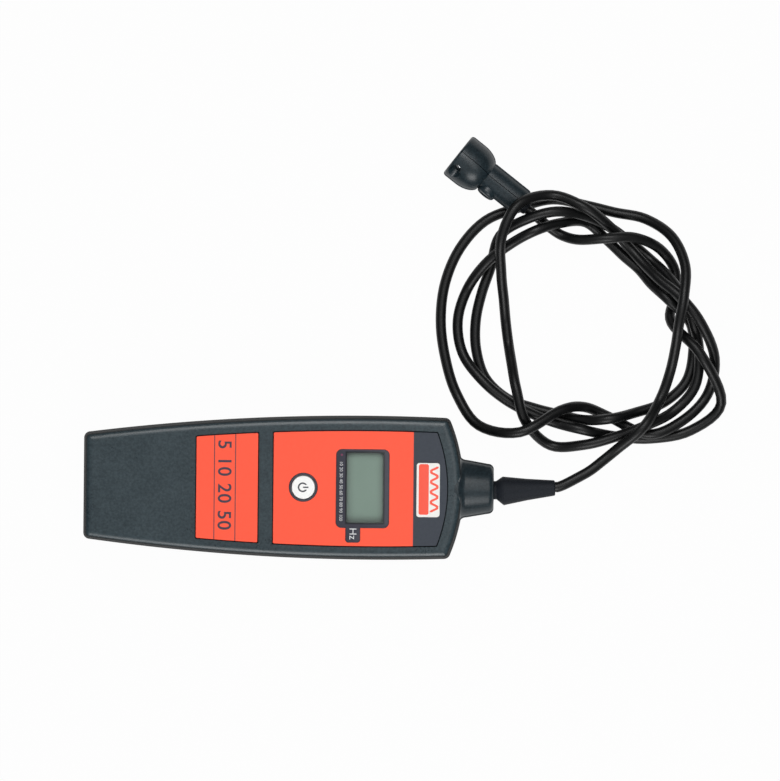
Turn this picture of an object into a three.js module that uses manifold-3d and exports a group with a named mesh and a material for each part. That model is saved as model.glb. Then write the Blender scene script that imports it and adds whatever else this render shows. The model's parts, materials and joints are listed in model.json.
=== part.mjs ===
// Belt tension tester: a handset with a display, a looped cable and a sensor head.
// Millimetres, +Z up. +X runs along the handset to the end where the cable leaves.
// The origin is the middle of the handset's flat back, which lies on the bench.

import * as THREE from 'three';
import { mergeVertices } from 'three/addons/utils/BufferGeometryUtils.js';
import Module from 'manifold-3d';

const wasm = await Module();
wasm.setup();

// Handset case
const handsetLength = 190;
const tailWidth = 53;
const widestWidth = 72;
const widestFromTail = 142;
const noseRadius = 87;
const caseDepth = 32;
const partingHeight = 15;
const wall = 2.4;
const wallDraft = 1.3;
const edgeRadius = 2.6;
const backEdgeRadius = 1.6;
const caseCorner = 3.2;
const leastCorner = 0.8;
const tailX = -handsetLength / 2;
const noseX = handsetLength / 2;
const widestX = tailX + widestFromTail;
const faceInside = caseDepth - wall;

// Clearances
const seatGap = 0.3;
const closeGap = 0.1;
const glueGap = 0.05;
const overrun = 1;

// Face of the handset, laid out from the nose
const labelInset = 7.3;
const labelPocketDepth = 0.4;
const labelThickness = 0.3;
const labelCorner = 1;
const mainLabelReach = 95;
const mainLabelStart = noseX - mainLabelReach;
const noseLabelInset = 8.3;
const labelSpacing = 7.8;
const referenceLength = 30.7;
const referenceEnd = mainLabelStart - labelSpacing;
const referenceStart = referenceEnd - referenceLength;
const windowFromNose = 50.5;
const windowCentre = noseX - windowFromNose;
const windowWidth = 26.5;
const windowHeight = 40;
const windowCorner = 2.8;
const windowThickness = 1.2;
const unitTabOffset = 4.7;
const unitTabCentre = windowCentre - unitTabOffset;
const unitTabWidth = 7.3;
const unitTabMargin = 1.4;
const buttonFromNose = 80.1;
const buttonPlace = noseX - buttonFromNose;
const buttonRadius = 5.8;
const buttonTravel = 0.4;
const ringRadius = 7.15;
const badgeFromNose = 17.8;
const badgePlace = noseX - badgeFromNose;
const badgeWidth = 11.8;
const badgeHeight = 27;
const badgeThickness = 0.3;

// Battery and its bay
const batteryLength = 45.5;
const batteryWidth = 26.5;
const batteryHeight = 17.5;
const batteryFromTail = 7;
const batteryBottom = 3.8;
const batteryTop = batteryBottom + batteryHeight;
const batteryTailX = tailX + batteryFromTail;
const batteryNoseX = batteryTailX + batteryLength;
const studLength = 2.9;
const studRoom = 0.5;
const clipThickness = 2;
const bayNose = batteryNoseX + studLength + studRoom + clipThickness + closeGap;
const bayWall = 1.4;
const doorWidth = 27;
const doorThickness = 2;
const tongueReach = 1.6;
const doorOpeningHalf = doorWidth / 2 + seatGap;
const bayHalfWidth = doorOpeningHalf + tongueReach + seatGap;
const doorRecess = 0.2;
const doorTravel = 12;

// Display stack and circuit board
const viewOffset = 1.2;
const viewCentre = windowCentre + viewOffset;
const viewWidth = 18.4;
const viewHeight = 35;
const displayWidth = 22.8;
const displayHeight = 39;
const displayThickness = 2.5;
const boardFromBay = 15;
const boardTail = bayNose + boardFromBay;
const boardFromNose = 17;
const boardNose = noseX - boardFromNose;
const boardFromFlank = 12;
const boardWidth = widestWidth - 2 * boardFromFlank;
const boardThickness = 1.6;
const displayStandoff = 4.8;

// Collar, strain relief and cable
const cableHeight = caseDepth / 2;
const collarInset = 1.25;
const collarBaseRadius = cableHeight - collarInset;
const collarTaper = 2.25;
const collarReach = 15;
const collarEnd = noseX + collarReach;
const collarEdge = 2.8;
const collarWall = 2.5;
const neckStep = 2.75;
const neckRadius = collarBaseRadius - neckStep;
const reliefWideRadius = 7.35;
const reliefTipRadius = 3.8;
const reliefLength = 30.7;
const reliefEnd = collarEnd + reliefLength;
const reliefTilt = THREE.MathUtils.degToRad(2.3);
const cableDiameter = 5;

// Sensor head
const headX = 90.65;
const headY = 167.3;
const headHeading = THREE.MathUtils.degToRad(-38);
const headRoll = THREE.MathUtils.degToRad(-9.5);
const cupRadius = 12.1;
const handleRadius = 7.35;
const headLength = 41;
const mouthRadius = 8.8;
const mouthDepth = 8.2;

// Facets
const roundSides = 32;
const smallSides = 12;
const flankSteps = 7;
const cornerSteps = 3;
const bowSteps = 8;
const edgeSteps = 3;
const quarter = Math.PI / 2;

// Materials, one per finish
function finish(color, roughness, metalness = 0) {
  return new THREE.MeshStandardMaterial({ color, roughness, metalness });
}

const slatePlastic = finish(0x434b50, 0.55);
const redFilm = finish(0xff5f46, 0.45);
const whiteFilm = finish(0xf2f2f0, 0.4);
const blackPlastic = finish(0x1c1e20, 0.5);
const whitePlastic = finish(0xeeeeea, 0.4);
const clearWindow = finish(0x3a4448, 0.1);
const displayGlass = finish(0x7d8c82, 0.25);
const blackRubber = finish(0x232628, 0.6);
const blackCable = finish(0x1e2022, 0.3);
const boardGreen = finish(0x1f5a38, 0.5);
const chipBlack = finish(0x17181a, 0.5);
const steel = finish(0xb4b8bb, 0.3, 1);
const batteryCase = finish(0x8b8f94, 0.4, 0.4);
const foam = finish(0x3b3d40, 0.95);
const copperWire = finish(0xa8322a, 0.5);
const smokedLens = finish(0x2a2030, 0.12);
const clearLens = finish(0xd8dfe4, 0.08);
const redLens = finish(0xc02a20, 0.15);

// Solids

function signedVolume(positions, triangles) {
  const corner = (index) => new THREE.Vector3().fromArray(positions, 3 * index);
  let total = 0;
  for (let i = 0; i < triangles.length; i += 3) {
    const [a, b, c] = [corner(triangles[i]), corner(triangles[i + 1]), corner(triangles[i + 2])];
    total += a.dot(b.cross(c));
  }
  return total;
}

// A closed three.js geometry becomes a solid whose faces point outwards.
function solid(geometry) {
  const bare = geometry.clone();
  bare.deleteAttribute('normal');
  bare.deleteAttribute('uv');
  const merged = mergeVertices(bare, 1e-4);
  const positions = merged.getAttribute('position').array;
  const index = merged.getIndex().array;
  const kept = [];
  for (let i = 0; i < index.length; i += 3) {
    const [a, b, c] = [index[i], index[i + 1], index[i + 2]];
    if (a !== b && b !== c && c !== a) kept.push(a, b, c);
  }
  if (signedVolume(positions, kept) < 0) kept.reverse();
  const mesh = new wasm.Mesh({
    numProp: 3,
    vertProperties: new Float32Array(positions),
    triVerts: new Uint32Array(kept),
  });
  return new wasm.Manifold(mesh);
}

function toMesh(name, body, material) {
  const { vertProperties, triVerts } = body.getMesh();
  const geometry = new THREE.BufferGeometry();
  geometry.setAttribute('position', new THREE.BufferAttribute(new Float32Array(vertProperties), 3));
  geometry.setIndex([...triVerts]);
  geometry.computeVertexNormals();
  const mesh = new THREE.Mesh(geometry, material);
  mesh.name = name;
  return mesh;
}

function box(x0, x1, y0, y1, z0, z1) {
  const geometry = new THREE.BoxGeometry(x1 - x0, y1 - y0, z1 - z0);
  geometry.translate((x0 + x1) / 2, (y0 + y1) / 2, (z0 + z1) / 2);
  return solid(geometry);
}

// A box that is centred on y = 0.
const midBox = (x0, x1, width, z0, z1) => box(x0, x1, -width / 2, width / 2, z0, z1);

function uprightRod(x, y, radius, z0, z1, sides = smallSides) {
  const geometry = new THREE.CylinderGeometry(radius, radius, z1 - z0, sides);
  geometry.rotateX(quarter);
  geometry.translate(x, y, (z0 + z1) / 2);
  return solid(geometry);
}

function sidewaysRod(x, z, radius, y0, y1, sides = smallSides) {
  const geometry = new THREE.CylinderGeometry(radius, radius, y1 - y0, sides);
  geometry.translate(x, (y0 + y1) / 2, z);
  return solid(geometry);
}

function lengthwiseRod(radius, x0, x1, y, z, sides = smallSides) {
  const geometry = new THREE.CylinderGeometry(radius, radius, x1 - x0, sides);
  geometry.rotateZ(quarter);
  geometry.translate((x0 + x1) / 2, y, z);
  return solid(geometry);
}

// Profiles are lists of [radius, place along the axis], turned about X or about an upright line.
function turnedAlongX(profile, sides = roundSides) {
  const geometry = new THREE.LatheGeometry(profile.map(([r, s]) => new THREE.Vector2(r, s)), sides);
  geometry.rotateZ(-quarter);
  return solid(geometry);
}

function turnedUpright(profile, sides = roundSides) {
  const geometry = new THREE.LatheGeometry(profile.map(([r, s]) => new THREE.Vector2(r, s)), sides);
  geometry.rotateX(quarter);
  return solid(geometry);
}

const closed = (profile) => [...profile, profile[0]];

function slab(outline, z0, z1) {
  const shape = new THREE.Shape(outline.map(([x, y]) => new THREE.Vector2(x, y)));
  const geometry = new THREE.ExtrudeGeometry(shape, { depth: z1 - z0, bevelEnabled: false });
  geometry.translate(0, 0, z0);
  return solid(geometry);
}

// Rings of the same number of points, one above the other, closed by a flat cap at each end.
function loft(rings) {
  const count = rings[0].points.length;
  const positions = rings.flatMap(({ points, z }) => points.flatMap(([x, y]) => [x, y, z]));
  const triangles = [];
  for (let level = 0; level + 1 < rings.length; level += 1) {
    for (let i = 0; i < count; i += 1) {
      const a = level * count + i;
      const b = level * count + ((i + 1) % count);
      triangles.push(a, b, b + count, a, b + count, a + count);
    }
  }
  const last = (rings.length - 1) * count;
  const flat = rings[0].points.map(([x, y]) => new THREE.Vector2(x, y));
  for (const [a, b, c] of THREE.ShapeUtils.triangulateShape(flat, [])) {
    triangles.push(a, c, b, last + a, last + b, last + c);
  }
  const geometry = new THREE.BufferGeometry();
  geometry.setAttribute('position', new THREE.Float32BufferAttribute(positions, 3));
  geometry.setIndex(triangles);
  return solid(geometry);
}

function join(first, ...others) {
  return others.reduce((whole, next) => whole.add(next), first);
}

function cut(first, ...others) {
  return others.reduce((whole, next) => whole.subtract(next), first);
}

// Outlines that follow the case

// Each flank is a shallow parabola from the tail's half width to the widest half width.
function flank(x) {
  const fall = (x - widestX) / (tailX - widestX);
  return widestWidth / 2 - (widestWidth - tailWidth) / 2 * fall * fall;
}

function arc(cx, cy, radius, from, to, steps) {
  const points = [];
  for (let i = 0; i <= steps; i += 1) {
    const angle = from + (to - from) * i / steps;
    points.push([cx + radius * Math.cos(angle), cy + radius * Math.sin(angle)]);
  }
  return points;
}

// The far end of an outline is either the bowed nose or a straight line across.
function noseCorner(inset, corner) {
  const bow = noseRadius - inset;
  const bowX = noseX - noseRadius;
  let x = noseX - inset - corner;
  let y = 0;
  for (let pass = 0; pass < cornerSteps; pass += 1) {
    y = flank(x) - inset - corner;
    x = bowX + Math.sqrt((bow - corner) ** 2 - y * y);
  }
  return { x, y, bow, bowX, angle: Math.atan2(y, x - bowX) };
}

// Counter-clockwise outline, inset from the flanks, from x = from to the nose or to x = to.
function caseOutline({ inset, from, to = null, noseInset = inset, corner }) {
  const start = from + corner;
  const half = arc(start, flank(start) - inset - corner, corner, 2 * quarter, quarter, cornerSteps);
  const bowed = to === null;
  const nose = noseCorner(noseInset, corner);
  const end = bowed ? nose.x : to - corner;
  for (let i = 1; i < flankSteps; i += 1) {
    const x = start + (end - start) * i / flankSteps;
    half.push([x, flank(x) - inset]);
  }
  const lastAngle = bowed ? nose.angle : 0;
  half.push(...arc(end, flank(end) - inset - corner, corner, quarter, lastAngle, cornerSteps));
  if (bowed) {
    const lower = [...half].reverse().map(([x, y]) => [x, -y]);
    const top = half[half.length - 1];
    const topAngle = Math.atan2(top[1], top[0] - nose.bowX);
    const bow = arc(nose.bowX, 0, nose.bow, topAngle, -topAngle, bowSteps).slice(1, -1);
    return [...half, ...bow, ...lower].reverse();
  }
  return [...half, ...[...half].reverse().map(([x, y]) => [x, -y])].reverse();
}

function caseRing(z, inset) {
  const corner = Math.max(caseCorner - inset, leastCorner);
  return { z, points: caseOutline({ inset, from: tailX + inset, corner }) };
}

// A rounded edge between the drafted wall and the flat face, as rings that go up to the face.
function edgeRings(face, radius, direction, swell = 0) {
  const rings = [];
  for (let i = 0; i <= edgeSteps; i += 1) {
    const angle = quarter * i / edgeSteps;
    const z = face - direction * radius * (1 - Math.sin(angle));
    rings.push(caseRing(z + direction * swell, wallDraft + radius * (1 - Math.cos(angle)) - swell));
  }
  return rings;
}

function roundedPlate(cx, cy, width, height, corner, z0, z1) {
  const [hx, hy] = [width / 2 - corner, height / 2 - corner];
  const outline = [
    ...arc(cx + hx, cy + hy, corner, 0, quarter, cornerSteps),
    ...arc(cx - hx, cy + hy, corner, quarter, 2 * quarter, cornerSteps),
    ...arc(cx - hx, cy - hy, corner, 2 * quarter, 3 * quarter, cornerSteps),
    ...arc(cx + hx, cy - hy, corner, 3 * quarter, 4 * quarter, cornerSteps),
  ];
  return slab(outline, z0, z1);
}

// Places that several pieces share

const labelFloor = caseDepth - labelPocketDepth;
const windowTop = caseDepth - closeGap;
const windowFloor = windowTop - windowThickness - closeGap;
const ringSeat = 1.7;
const ringFloor = caseDepth - ringSeat;
const ringInside = buttonRadius + seatGap;
const buttonHole = ringInside + glueGap;
const displayTop = faceInside - seatGap;
const displayBottom = displayTop - displayThickness;
const boardTop = displayBottom - displayStandoff;
const boardBottom = boardTop - boardThickness;

// Fasteners: [x, y] of each screw
const caseBossRadius = 4;
const caseScrewFromTail = 15;
const caseScrewTail = tailX + caseScrewFromTail;
const caseScrewTailY = bayHalfWidth + bayWall + seatGap + caseBossRadius;
const caseScrewFromNose = 21;
const caseScrewNose = noseX - caseScrewFromNose;
const caseScrewFromFlank = 7.6;
const caseScrewNoseY = widestWidth / 2 - caseScrewFromFlank;
const caseScrewPlaces = [
  [caseScrewTail, caseScrewTailY],
  [caseScrewTail, -caseScrewTailY],
  [caseScrewNose, caseScrewNoseY],
  [caseScrewNose, -caseScrewNoseY],
];
const caseScrewRadius = 1.45;
const caseScrewHeadRadius = 2.8;
const caseScrewHead = 2;
const caseScrewSink = 1.2;
const caseScrewBelowFace = 7.5;
const caseScrewEnd = caseDepth - caseScrewBelowFace;

const boardPostEdge = 5;
const boardPostY = boardWidth / 2 - boardPostEdge;
const boardPostPlaces = [
  [boardTail + boardPostEdge, boardPostY],
  [boardTail + boardPostEdge, -boardPostY],
  [boardNose - boardPostEdge, boardPostY],
  [boardNose - boardPostEdge, -boardPostY],
];
const boardPostRadius = 2.5;
const boardScrewRadius = 1.1;
const boardScrewHeadRadius = 2.1;
const boardScrewHead = 1.4;
const boardScrewReach = 5.5;
const boardScrewEnd = boardTop + boardScrewReach;

// Window and its unit tab, shared by the window, its pocket and the label's hole.
function windowShape(grow, z0, z1) {
  const plate = roundedPlate(windowCentre, 0, windowWidth + 2 * grow, windowHeight + 2 * grow,
    windowCorner + grow, z0, z1);
  const tabTop = -windowHeight / 2 + windowCorner;
  const tabBottom = labelInset + unitTabMargin - flank(unitTabCentre) - grow;
  const tab = roundedPlate(unitTabCentre, (tabTop + tabBottom) / 2, unitTabWidth + 2 * grow,
    tabTop - tabBottom, windowCorner / 2, z0, z1);
  return join(plate, tab);
}

function labelShape(start, end, grow, z0, z1) {
  const outline = caseOutline({
    inset: labelInset - grow,
    from: start - grow,
    to: end === null ? null : end + grow,
    noseInset: noseLabelInset - grow,
    corner: labelCorner,
  });
  return slab(outline, z0, z1);
}

// Shells

function collarHole(radius) {
  return lengthwiseRod(radius, noseX - 3 * wall - overrun, noseX + overrun, 0, cableHeight, roundSides);
}

const padRibPlace = 8;
const padRibWidth = 1.6;
const padThickness = 2.3;
const padBottom = batteryTop + seatGap;
const padTop = padBottom + padThickness;

function makeTopShell() {
  const seam = partingHeight + seatGap / 2;
  const outside = loft([caseRing(seam, 0), ...edgeRings(caseDepth, edgeRadius, 1)]);
  const inside = loft([caseRing(seam - overrun, wall), caseRing(faceInside, wall + wallDraft)]);
  let shell = outside.subtract(inside);
  for (const [x, y] of caseScrewPlaces) {
    shell = shell.add(uprightRod(x, y, caseBossRadius, seam, faceInside + overrun));
  }
  for (const [x, y] of boardPostPlaces) {
    shell = shell.add(uprightRod(x, y, boardPostRadius, boardTop + closeGap, faceInside + overrun));
  }
  for (const side of [-1, 1]) {
    const y = side * padRibPlace;
    shell = shell.add(box(batteryTailX + padRibPlace, batteryNoseX - padRibPlace, y - padRibWidth / 2,
      y + padRibWidth / 2, padTop + closeGap, faceInside + overrun));
  }
  for (const [x, y] of caseScrewPlaces) {
    const hole = uprightRod(x, y, caseScrewRadius + closeGap, seam - overrun, caseScrewEnd + seatGap);
    shell = shell.subtract(hole);
  }
  for (const [x, y] of boardPostPlaces) {
    shell = shell.subtract(uprightRod(x, y, boardScrewRadius + closeGap, boardTop, boardScrewEnd + seatGap));
  }
  const viewHalf = viewWidth / 2 + seatGap;
  return cut(
    shell,
    labelShape(mainLabelStart, null, seatGap / 2, labelFloor, caseDepth + overrun),
    labelShape(referenceStart, referenceEnd, seatGap / 2, labelFloor, caseDepth + overrun),
    windowShape(closeGap, windowFloor, caseDepth + overrun),
    midBox(viewCentre - viewHalf, viewCentre + viewHalf, viewHeight + 2 * seatGap, faceInside - overrun,
      caseDepth),
    uprightRod(buttonPlace, 0, buttonHole, faceInside - overrun, caseDepth, roundSides),
    uprightRod(buttonPlace, 0, ringRadius + closeGap, ringFloor, caseDepth + overrun, roundSides),
    collarHole(neckRadius + seatGap),
  );
}

// Battery door rails: the tongues ride on the floor beside the opening, and drop through the notches.
const tongueLength = 8;
const tongueThickness = 0.8;
const doorNose = bayNose + bayWall;
const doorFromTail = 3.4;
const doorTail = tailX + doorFromTail;
const tongueFromNose = 10.4;
const tongueSpacing = 26;
const tonguePlaces = [doorNose - tongueFromNose - tongueSpacing, doorNose - tongueFromNose];
const doorTop = doorRecess + doorThickness;
const tongueBottom = wall + seatGap;
const tongueTop = tongueBottom + tongueThickness;
const bayWallBelowBattery = 0.7;
const bayWallTop = batteryTop - bayWallBelowBattery;

// Saddle under the cable, just inside the nose
const clampFromNose = 15;
const clampTail = noseX - clampFromNose;
const clampLength = 6;
const clampWidth = 16;
const clampScrewY = 5.4;
const clampScrewRadius = 1.1;
const clampScrewHeadRadius = 2;
const clampScrewHead = 1.4;
const clampScrewDepth = 7;
const clampScrewEnd = cableHeight - clampScrewDepth;
const clampThickness = 4.3;
const clampTop = cableHeight + clampThickness;
const innerLeadRadius = 2.3;
const clampSplit = seatGap / 2;

function clampBore(radius) {
  return lengthwiseRod(radius, clampTail - overrun, clampTail + clampLength + overrun, 0, cableHeight);
}

function makeBottomShell() {
  const seam = partingHeight - seatGap / 2;
  const outside = loft([...edgeRings(0, backEdgeRadius, -1).reverse(), caseRing(seam, 0)]);
  const inside = loft([caseRing(wall, wall + wallDraft), caseRing(seam + overrun, wall)]);
  let shell = outside.subtract(inside);
  for (const [x, y] of caseScrewPlaces) {
    shell = shell.add(uprightRod(x, y, caseBossRadius, wall / 2, seam));
  }
  const bayStart = tailX + wall + wallDraft + seatGap;
  for (const side of [-1, 1]) {
    const [near, far] = [bayHalfWidth, bayHalfWidth + bayWall];
    shell = shell.add(box(bayStart, bayNose + bayWall, Math.min(side * near, side * far),
      Math.max(side * near, side * far), wall / 2, bayWallTop));
  }
  shell = shell.add(midBox(bayNose, bayNose + bayWall, 2 * (bayHalfWidth + bayWall), wall / 2, bayWallTop));
  const saddle = midBox(clampTail, clampTail + clampLength, clampWidth, wall / 2, cableHeight - clampSplit);
  shell = shell.add(saddle);
  for (const [x, y] of caseScrewPlaces) {
    shell = cut(
      shell,
      uprightRod(x, y, caseScrewRadius + seatGap, -overrun, seam + overrun),
      uprightRod(x, y, caseScrewHeadRadius + seatGap, -overrun, caseScrewSink + caseScrewHead + closeGap),
    );
  }
  for (const side of [-1, 1]) {
    shell = shell.subtract(uprightRod(clampTail + clampLength / 2, side * clampScrewY,
      clampScrewRadius + closeGap, clampScrewEnd - seatGap, cableHeight + overrun));
  }
  const openingNose = doorNose + seatGap;
  const doorway = midBox(tailX - overrun, openingNose, 2 * doorOpeningHalf, -overrun, doorTop + seatGap);
  const bay = midBox(doorTail + wall + seatGap, openingNose, 2 * doorOpeningHalf, -overrun, wall + overrun);
  shell = cut(shell, doorway, bay);
  for (const x of tonguePlaces) {
    const notchTail = x - doorTravel - tongueLength / 2 - seatGap;
    shell = shell.subtract(midBox(notchTail, notchTail + tongueLength + 2 * seatGap,
      2 * (doorOpeningHalf + tongueReach), -overrun, wall + overrun));
  }
  return cut(
    shell,
    clampBore(innerLeadRadius + seatGap),
    collarHole(neckRadius + seatGap),
  );
}

function makeBatteryDoor() {
  const panel = midBox(doorTail, doorNose, doorWidth, doorRecess, doorTop);
  const innerTail = tailX + wall + wallDraft + seatGap + doorTravel;
  const inner = midBox(innerTail, doorNose - bayWall - seatGap, doorWidth - 2 * seatGap,
    doorTop - closeGap, tongueTop);
  let door = panel.add(inner);
  for (const x of tonguePlaces) {
    door = door.add(midBox(x - tongueLength / 2, x + tongueLength / 2,
      2 * (doorOpeningHalf + tongueReach - seatGap), tongueBottom, tongueTop));
  }
  // Finger grooves across the tail end of the door
  const grooveDepth = 0.6;
  const groovePitch = 2.4;
  const grooveCount = 4;
  for (let i = 0; i < grooveCount; i += 1) {
    const x = doorTail + 2 * groovePitch + i * groovePitch;
    door = door.subtract(midBox(x, x + groovePitch / 2, doorWidth / 2, -overrun, doorRecess + grooveDepth));
  }
  return door;
}

// Face pieces

function makeMainLabel() {
  const [z0, z1] = [labelFloor + glueGap, labelFloor + glueGap + labelThickness];
  return cut(
    labelShape(mainLabelStart, null, 0, z0, z1),
    windowShape(closeGap, z0 - overrun, z1 + overrun),
    uprightRod(buttonPlace, 0, ringRadius + closeGap, z0 - overrun, z1 + overrun, roundSides),
  );
}

function makeReferenceLabel() {
  const base = labelFloor + glueGap;
  return labelShape(referenceStart, referenceEnd, 0, base, base + labelThickness);
}

function makeBadgePlate() {
  const base = labelFloor + 2 * glueGap + labelThickness;
  return roundedPlate(badgePlace, 0, badgeWidth, badgeHeight, windowCorner / 2, base, base + badgeThickness);
}

function makeButtonRing() {
  const lip = 0.3;
  return turnedUpright(closed([
    [ringInside, ringFloor + closeGap],
    [ringRadius, ringFloor + closeGap],
    [ringRadius, caseDepth + lip / 2],
    [ringRadius - lip, caseDepth + lip],
    [ringInside + lip, caseDepth + lip],
    [ringInside, caseDepth],
  ])).translate(buttonPlace, 0, 0);
}

const flangeRadius = ringRadius - seatGap;
const flangeThickness = 0.9;
const flangeTop = faceInside - buttonTravel - closeGap;
const stemRadius = 1.5;
const plungerHeight = 4.8;
const plungerTop = boardTop + plungerHeight;
const buttonProud = 0.6;
const buttonTop = caseDepth + buttonProud;
const buttonEdge = 0.4;

function makePowerButton() {
  return turnedUpright([
    [0, plungerTop + closeGap],
    [stemRadius, plungerTop + closeGap],
    [stemRadius, flangeTop - flangeThickness],
    [flangeRadius, flangeTop - flangeThickness],
    [flangeRadius, flangeTop],
    [buttonRadius, flangeTop],
    [buttonRadius, buttonTop - buttonEdge],
    [buttonRadius - buttonEdge, buttonTop],
    [0, buttonTop + buttonEdge / 2],
  ]).translate(buttonPlace, 0, 0);
}

// Display stack

const zebraWidth = 1.8;
const zebraInset = 1.9;
const frameWall = 1.5;

function makeDisplayGlass() {
  const half = displayWidth / 2;
  return midBox(viewCentre - half, viewCentre + half, displayHeight, displayBottom, displayTop);
}

function makeDisplayFrame() {
  const [w, h] = [displayWidth / 2 + seatGap, displayHeight + 2 * seatGap];
  const base = boardTop + closeGap;
  const outer = midBox(viewCentre - w - frameWall, viewCentre + w + frameWall, h + 2 * frameWall,
    base, displayTop - closeGap);
  return outer.subtract(midBox(viewCentre - w, viewCentre + w, h, base - overrun, displayTop + overrun));
}

function makeZebraStrip(side) {
  const x = viewCentre + side * (displayWidth / 2 - zebraInset);
  return midBox(x - zebraWidth / 2, x + zebraWidth / 2, displayHeight - 2 * zebraWidth,
    boardTop + closeGap, displayBottom - closeGap);
}

// Circuit board and what it carries

function makeCircuitBoard() {
  let board = roundedPlate((boardTail + boardNose) / 2, 0, boardNose - boardTail, boardWidth, boardPostRadius,
    boardBottom, boardTop);
  for (const [x, y] of boardPostPlaces) {
    board = board.subtract(uprightRod(x, y, boardScrewRadius + seatGap, boardBottom - overrun,
      boardTop + overrun));
  }
  return board;
}

const under = boardBottom - closeGap;
const processorPlace = viewCentre;
const processorSize = 12;
const processorHeight = 1.6;
const amplifierFromNose = 35;
const amplifierPlace = noseX - amplifierFromNose;
const amplifierLength = 5;
const amplifierWidth = 6;
const crystalFromNose = 69;
const crystalPlace = noseX - crystalFromNose;
const crystalLength = 11;
const crystalWidth = 4.6;
const crystalHeight = 3.6;
const capacitorFromButton = 9.9;
const capacitorPlace = buttonPlace - capacitorFromButton;
const capacitorY = 12;
const capacitorRadius = 3.2;
const capacitorHeight = 7;

function makeProcessor() {
  return midBox(processorPlace - processorSize / 2, processorPlace + processorSize / 2, processorSize,
    under - processorHeight, under);
}

function makeAmplifier() {
  return midBox(amplifierPlace - amplifierLength / 2, amplifierPlace + amplifierLength / 2, amplifierWidth,
    under - processorHeight, under);
}

function makeCrystal() {
  return roundedPlate(crystalPlace, 0, crystalWidth, crystalLength, crystalWidth / 3,
    under - crystalHeight, under);
}

function makeCapacitor(side) {
  return uprightRod(capacitorPlace, side * capacitorY, capacitorRadius, under - capacitorHeight, under);
}

const switchSize = 6;
const switchHeight = 3.6;
const switchTop = boardTop + switchHeight;
const plungerRadius = 1.65;
const plungerLength = 3;
const plungerBottom = plungerTop - plungerLength;

function makeSwitchBody() {
  const body = midBox(buttonPlace - switchSize / 2, buttonPlace + switchSize / 2, switchSize,
    boardTop + closeGap, switchTop);
  const well = uprightRod(buttonPlace, 0, plungerRadius + seatGap, plungerBottom - buttonTravel - closeGap,
    switchTop + overrun);
  return body.subtract(well);
}

function makeSwitchPlunger() {
  return uprightRod(buttonPlace, 0, plungerRadius, plungerBottom, plungerTop);
}

const headerNose = boardNose + closeGap;
const headerLength = 8;
const headerWidth = 12;
const headerDrop = 3;
const headerBottom = cableHeight - headerDrop;

function makeCableHeader() {
  return midBox(headerNose - headerLength, headerNose, headerWidth, headerBottom, under);
}

// Battery

const studRadius = 2.9;
const studY = 6.3;
const hexRadius = 4;
const clipTail = bayNose - closeGap - clipThickness;
const clipHeight = 17;
const studHeight = batteryBottom + batteryHeight / 2;

function makeBattery() {
  const body = midBox(batteryTailX, batteryNoseX, batteryWidth, batteryBottom, batteryTop);
  return join(
    body,
    lengthwiseRod(studRadius, batteryNoseX - overrun, batteryNoseX + studLength, studY, studHeight),
    lengthwiseRod(hexRadius, batteryNoseX - overrun, batteryNoseX + studLength, -studY, studHeight,
      smallSides / 2),
  );
}

// Each snap of the clip is a cup that holds its battery stud.
function makeBatteryClip() {
  let clip = midBox(clipTail, clipTail + clipThickness, batteryWidth, batteryBottom,
    batteryBottom + clipHeight);
  const cupWall = 0.5;
  for (const [radius, y] of [[studRadius, studY], [hexRadius, -studY]]) {
    const bore = radius + closeGap + glueGap;
    clip = clip.add(lengthwiseRod(bore + cupWall, clipTail - studLength + seatGap, clipTail + glueGap, y,
      studHeight));
    clip = clip.subtract(lengthwiseRod(bore, clipTail - studLength, clipTail + clipThickness / 2, y,
      studHeight));
  }
  return clip;
}

const padInset = 4;

function makeBatteryPad() {
  return midBox(batteryTailX + padInset, batteryNoseX - padInset, batteryWidth - 2 * padInset, padBottom,
    padTop);
}

const wireRadius = 0.7;
const wireRise = 5;
const wireSides = 6;
const wireSteps = 8;

function circle(radius, sides) {
  const points = arc(0, 0, radius, 0, 4 * quarter, sides).slice(1);
  return new THREE.Shape(points.map(([x, y]) => new THREE.Vector2(x, y)));
}

function tube(path, radius, sides, steps) {
  const settings = { steps, extrudePath: path, bevelEnabled: false };
  return solid(new THREE.ExtrudeGeometry(circle(radius, sides), settings));
}

function makeBatteryLead(side) {
  const y = side * studY;
  const start = new THREE.Vector3(clipTail + clipThickness / 2, y, batteryBottom + clipHeight + closeGap);
  const end = new THREE.Vector3(boardTail + 2 * wireRadius, y, boardTop + closeGap);
  const up = new THREE.Vector3(0, 0, wireRise);
  const path = new THREE.CubicBezierCurve3(start, start.clone().add(up), end.clone().add(up), end);
  return tube(path, wireRadius, wireSides, wireSteps);
}

// Fasteners

const screwFaceShare = 0.8;
const slotLengthShare = 1.2;

// A pan head with a cross slot, and a plain shank. It points up along Z, with its head's outer face at z = 0.
function makeScrew(headRadius, head, shankRadius, length) {
  const slotDepth = head / 2;
  const slotWidth = headRadius / 3;
  const slotLength = headRadius * slotLengthShare;
  const body = turnedUpright([
    [0, 0],
    [headRadius * screwFaceShare, 0],
    [headRadius, head / 3],
    [headRadius, head],
    [shankRadius, head],
    [shankRadius, length - shankRadius],
    [0, length],
  ], smallSides);
  return cut(
    body,
    box(-slotLength / 2, slotLength / 2, -slotWidth / 2, slotWidth / 2, -overrun, slotDepth),
    box(-slotWidth / 2, slotWidth / 2, -slotLength / 2, slotLength / 2, -overrun, slotDepth),
  );
}

function placedScrew(name, body, x, y, z, pointsDown = false) {
  const mesh = toMesh(name, body, steel);
  mesh.position.set(x, y, z);
  if (pointsDown) mesh.rotation.x = 2 * quarter;
  return mesh;
}

// Collar, strain relief and what holds the cable inside the nose

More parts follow.
